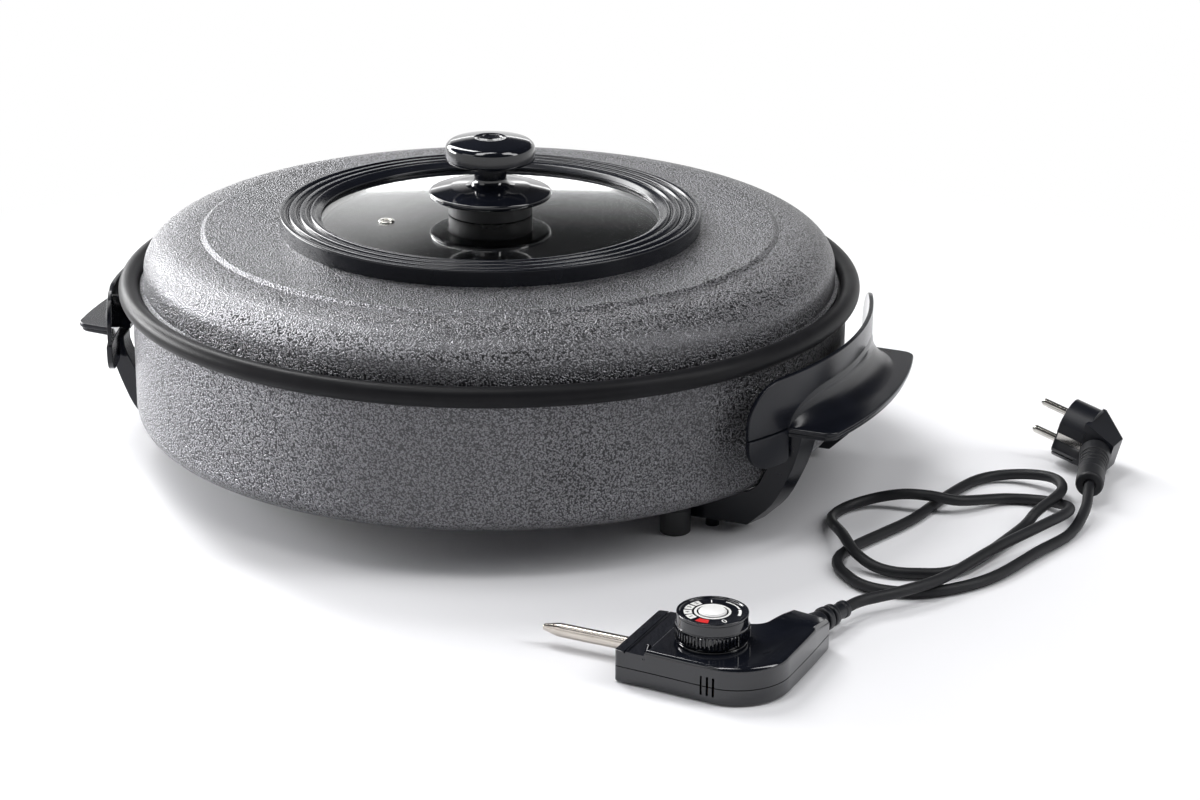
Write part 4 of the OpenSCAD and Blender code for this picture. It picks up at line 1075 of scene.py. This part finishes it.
class MakeControl(Maker, bpy.types.Operator):
    """Make the control's shells, its probe and its cord boot"""

    bl_idname = "electric_pan.control"
    bl_label = "Control"

    def make(self, scene):
        for shape, name, node in (
            (self.tray(), "control_tray", "control_base"), (self.cover(), "control_lid", "control_cover"),
        ):
            piece(moved(shape, CONTROL_AT), name, "gloss", CONTROL, [node], sharp=40)
        tip, r = -97, 3.8
        # A pointed rod, as (radius, distance along the probe).
        corners = [(0, tip), (1.7, tip + 0.1, 0.9), (r, tip + 9.5, 2.0), (r, -30, 0), (0, -30)]
        probe = moved(turned(corners, 48, 6), CONTROL_AT @ shift(0, 0, SEAM) @ turn("Y", 90))
        piece(probe, "probe_rod", "probe", CONTROL, ["probe_tube"])
        end = RELIEF_LENGTH
        # A flange inside the case, then the boot's body, two ribs and a sleeve with a hollow end.
        corners = [(0, -9), (4.4, -9), (4.4, -8.0), (6.4, -8, 0.3), (6.4, -5.2, 0.3), (4.4, -5.2)]
        corners += [(4.4, 2.4), (6.4, 2.5, 0.7), (5.7, 9.0, 0.5), (4.5, 9.4, 0.3), (4.5, 10.5, 0.3)]
        corners += [(6.6, 10.9, 0.8), (6.6, 14.9, 0.8), (4.6, 15.3, 0.3), (4.6, 16.6, 0.3), (6.2, 17.0, 0.8)]
        corners += [(6.2, 20.4, 0.8), (4.6, 20.8, 0.3), (4.5, 26.5, 0.4), (4.5, end - 3.1, 0.3)]
        corners += [(4.9, end - 3, 0.4), (4.9, end, 0.5), (3.4, end, 0.3), (3.3, end - 1.5), (0, end - 1.5)]
        boot = moved(turned(corners, 40, 3), RELIEF_AT @ turn("Y", 90))
        piece(boot, "cord_boot", "satin", CONTROL, ["strain_relief"])
        dress(
            probe="probe_collar",
            zinc="cover_screws thermostat_frame cord_clamp",
            brass="fixed_contact moving_contact socket_contacts earth_spring",
            amber="pilot_lamp",
        )

    def outline(self):
        """The case's plan with its corners rounded."""
        front = arc(13, 0, 30.5, 30.5, -85, 0, 12)
        arm = [(43.5, 30, 6), (42.5, 60.5, 3.5), (18, 67, 3), (16.5, 53, 2)]
        corner = arc(7.5, 38, 9, 9, 0, -90, 6)
        return [(-43, -27.5, 2.2), (-25, -28.2), (1, -29.8), *front, *arm, *corner, (-43, 29, 2)]

    def cavity(self, z0, z1):
        """The room inside the case walls."""
        front = arc(13, 0, 28.2, 28.2, -85, 0, 12)
        corner = arc(7.5, 38, 11.3, 11.3, 0, -90, 6)
        arm = [(41.2, 30), (40.2, 58.8), (20.2, 64.1), (18.8, 53)]
        plan = [(-40.8, -25.2), (1, -27.4), *front, *arm, *corner, (-40.8, 26.7)]
        return thicken(flat_shape(plan, lambda u, v: (u, v, z0)), (0, 0, z1 - z0))

    def openings(self):
        """Vent slots, pin sockets and the hole for the probe's collar."""
        for u in (7, 10.4, 13.8):
            yield block((u - 0.65, -34, 4.5), (u + 0.65, -27.7, 15), 0.3)
        for v, radius, depth in ((-15, 3.4, 14), (15, 3.4, 14), (0, 5.9, 6)):
            hole = moved(pillar(radius, -46, -43 + depth), turn("Y", 90))
            yield moved(hole, shift(0, v, SEAM))

    def tray(self):
        """The case's lower half, with its four pads."""
        bottom, gap = 0.5, 0.15
        outline = flat_shape(self.outline(), lambda u, v: (u, v, bottom), 5)
        bm = thicken(outline, (0, 0, SEAM - gap - bottom))
        soften(bm, edges_where(bm, lambda place: place.z < 1), 1.3, 3, False)
        soften(bm, edges_where(bm, lambda place: place.z > 9), 0.3, 2)
        bm = carve(bm, self.cavity(2.4, SEAM + 1), *self.openings())
        for place in ((-36, -22.8), (-36, 23.4), (33, 18), (30, 55)):
            absorb(bm, moved(turned([(0, 0), (2.6, 0, 0.4), (2.6, 1.2), (0, 1.2)], 24, 2), shift(*place)))
        return bm

    def cover(self):
        """The case's upper half: a low step at its end and a raised body that slopes over the arm."""
        gap, low, high, step, slope_from = 0.15, 18.5, 21.5, -25.8, 38
        outline = flat_shape(self.outline(), lambda u, v: (u, v, SEAM + gap), 5)
        bm = thicken(outline, (0, 0, low - SEAM - gap))
        slice_at(bm, 0, [step])
        body = [f for f in bm.faces if f.normal.z > 0.9 and f.calc_center_median().x > step]
        lengthen(bm, body, (0, 0, high - low))
        bmesh.ops.delete(bm, geom=[f for f in body if f.is_valid], context="FACES")
        bmesh.ops.dissolve_limit(bm, angle_limit=math.radians(0.5), verts=bm.verts[:], edges=bm.edges[:])
        slice_at(bm, 1, [slope_from])
        for vert in bm.verts:
            if vert.co.z > high - 0.1 and vert.co.y > slope_from:
                vert.co.z -= (vert.co.y - slope_from) * math.tan(math.radians(10.5))
        turn_out(bm)
        raised = edges_where(bm, lambda place: place.z > low + 1.2)
        over_arm = edges_where(bm, lambda place: place.y > slope_from - 1 and place.z > 12)
        soften(bm, [e for e in bm.edges if e in raised or e in over_arm], 2.6, 6, False)
        on_step = edges_where(bm, lambda place: abs(place.z - low) < 0.05 and place.x < step - 0.3)
        soften(bm, on_step, 0.6, 3, False)
        soften(bm, edges_where(bm, lambda place: place.z < SEAM + 0.2), 0.3, 2)
        groove = block((-37.4, -40, 17.6), (-36.5, 40, 25))
        bm = carve(bm, groove, self.cavity(SEAM - 1, 15.2), *self.openings(), pillar(5.1, 8, 24))
        fin = [(-28.9, 16.2), (-22.2, 22.7, 0.4), (-19, 21.2), (-25, 16.2)]
        fin = thicken(flat_shape(fin, lambda v, z: (-26.9, v, z), 3), (1.6, 0, 0))
        soften(fin, sharp_edges(fin, 50), 0.35, 2)
        absorb(bm, fin)
        for u, v in ((-39.8, 22.2), (-40.5, 2.4), (-41.3, -16.8)):
            absorb(bm, block((u - 0.7, v - 1.3, 18.3), (u + 0.7, v + 1.3, 18.85), 0.2))
        absorb(bm, block((-36.3, -25.6, 18.3), (-35.4, 27, 19.2), 0.3))
        ring = [(15.2, 21.3), (18.2, 21.3), (18.2, 22.1, 0.4), (15.2, 22.1, 0.4)]
        absorb(bm, turned(ring, 96, 3))
        arrow = [(30.2, -4.6, 0.3), (33.2, 0.6, 0.3), (28.2, 1.2, 0.3)]
        return absorb(bm, thicken(flat_shape(arrow, lambda u, v: (u, v, 21.4), 3), (0, 0, 0.35)))


class MakeDial(Maker, bpy.types.Operator):
    """Make the ribbed dial, its printed ring and its lens"""

    bl_idname = "electric_pan.dial"
    bl_label = "Dial"

    def make(self, scene):
        z0, z1, ribs = 22.5, 38.0, 60
        # Skirt, ribbed band, upper edge and the recess for the printed ring.
        corners = [(14.9, z0, 0.2), (18.4, z0, 0.5), (18.9, z0 + 1.6, 0.3), (18.9, z0 + 7.8, 0.2)]
        corners += [(19.2, z0 + 8.2, 0.4), (18.8, z0 + 8.8, 0.4), (18.6, z1 - 1.6, 0.3)]
        corners += [(18.8, z1 - 1.4, 0.2), (18.8, z1, 0.5), (17.2, z1, 0.4), (16.9, z1 - 0.8, 0.2)]
        corners += [(7.9, z1 - 0.8, 0.2), (7.6, z1 - 2.4), (14.9, z1 - 4)]
        knob = turned(corners, 120, 3)
        for i in range(ribs):
            rib = block((18.5, -0.55, z0 + 1.7), (19.85, 0.55, z0 + 7.6), 0.3, 1)
            absorb(knob, moved(rib, turn("Z", 360 / ribs * i)))
        piece(moved(knob, CONTROL_AT), "dial_grip", "gloss", DIAL, ["dial_knob"])
        face, ink = z1 - 0.8, 0.12
        base = turned([(17.0, face - 0.6), (16.8, face + 0.02), (7.7, face + 0.02), (7.7, face - 0.6)], 96)
        marks, red, dark = bmesh.new(), bmesh.new(), bmesh.new()
        # Each band: from and to in degrees, inside and outside radius.
        for first, last, inner, outer in (
            (143, 165, 10.8, 15.0), (170, 192, 10.8, 15.0), (197, 219, 10.8, 15.0), (224, 245, 10.8, 15.0),
            (4, 34, 13.4, 14.9), (38, 84, 13.9, 14.7),
        ):
            self.mark(marks, first, last, inner, outer, face, ink)
        self.mark(red, 256, 284, 10.8, 15.0, face, ink)
        for figure, at in (("1", 116), ("0", 320)):
            absorb(marks, self.figure(figure, at, face, 5.2))
        for figure, at in (("2", 154), ("3", 181), ("4", 208), ("5", 234.5)):
            absorb(dark, self.figure(figure, at, face + 0.1, 3.2))
        absorb(marks, turned([(9.6, face), (9.6, face + ink), (8.3, face + ink), (8.3, face)], 96))
        piece(moved(base, CONTROL_AT), "dial_disc", "gloss", DIAL, ["dial_face"])
        for bm, name, ink_finish in (
            (marks, "dial_marks", "print"), (red, "dial_red_mark", "red"), (dark, "dial_figures", "satin"),
        ):
            piece(moved(bm, CONTROL_AT), name, ink_finish, DIAL)
        corners = [(0, z1 - 2.4), (7.4, z1 - 2.4), (7.4, z1 - 0.2, 0.4), (6.9, z1 - 0.2, 0.1)]
        corners += [(6.7, z1 + 0.3, 0.3), (0, z1 + 0.4)]
        lens = moved(turned(corners, 64, 3), CONTROL_AT)
        piece(lens, "dial_window", "lens", DIAL, ["dial_lens"])
        dress(white="dial_spindle adjuster_cam")

    def figure(self, text, at, z, height):
        """A printed figure on the dial, its head outwards, at an angle in degrees."""
        radius, half_ink = 12.9, 0.05
        curve = bpy.data.curves.new("figure", "FONT")
        curve.body, curve.size, curve.extrude = text, height, half_ink
        curve.align_x, curve.align_y = "CENTER", "CENTER"
        return moved(shape_of(curve, 1e-4), turn("Z", at) @ shift(radius, 0, z + 0.07) @ turn("Z", -90))

    def mark(self, bm, first, last, inner, outer, z, ink):
        """Adds one printed band, from first to last degrees."""
        count = max(2, round((last - first) / 4))
        ring = [first + (last - first) * i / count for i in range(count + 1)]
        outline = [around(outer, angle) for angle in ring]
        outline += [around(inner, angle) for angle in reversed(ring)]
        absorb(bm, thicken(flat_shape(outline, lambda x, y: (x, y, z)), (0, 0, ink)))


STEPS = (
    SetStage, MakePlug, MakeCord, MakePan, MakeLid, MakeWindow, MakeKnob, MakeHandles, MakeUnderside,
    MakeControl, MakeDial,
)


class PanPanel(bpy.types.Panel):
    """Sizes, colours and the steps that make the pan"""

    bl_idname = "VIEW3D_PT_electric_pan"
    bl_label = "Electric pan"
    bl_space_type = "VIEW_3D"
    bl_region_type = "UI"
    bl_category = "Electric pan"

    def draw(self, context):
        scene = context.scene
        for title, group, _ in GROUPS:
            box = self.layout.box()
            box.label(text=title)
            settings = getattr(scene, group)
            for key in settings.__annotations__:
                box.prop(settings, key)
        for step in STEPS:
            self.layout.operator(step.bl_idname)


GROUPS = (
    ("Pan", "pan_sizes", PanSizes), ("Lid", "lid_sizes", LidSizes), ("Cord", "pan_cord", CordSizes),
    ("Colours", "pan_colours", PanColours), ("Stage", "pan_stage", StageSettings),
)
CLASSES = tuple(group[2] for group in GROUPS) + STEPS + (PanPanel,)


def register():
    for cls in CLASSES:
        bpy.utils.register_class(cls)
    for _, name, cls in GROUPS:
        setattr(bpy.types.Scene, name, PointerProperty(type=cls))


def unregister():
    for _, name, _ in GROUPS:
        delattr(bpy.types.Scene, name)
    for cls in reversed(CLASSES):
        bpy.utils.unregister_class(cls)


def main():
    register()
    for step in STEPS:
        family, name = step.bl_idname.split(".")
        getattr(getattr(bpy.ops, family), name)()


if __name__ == "__main__":
    main()
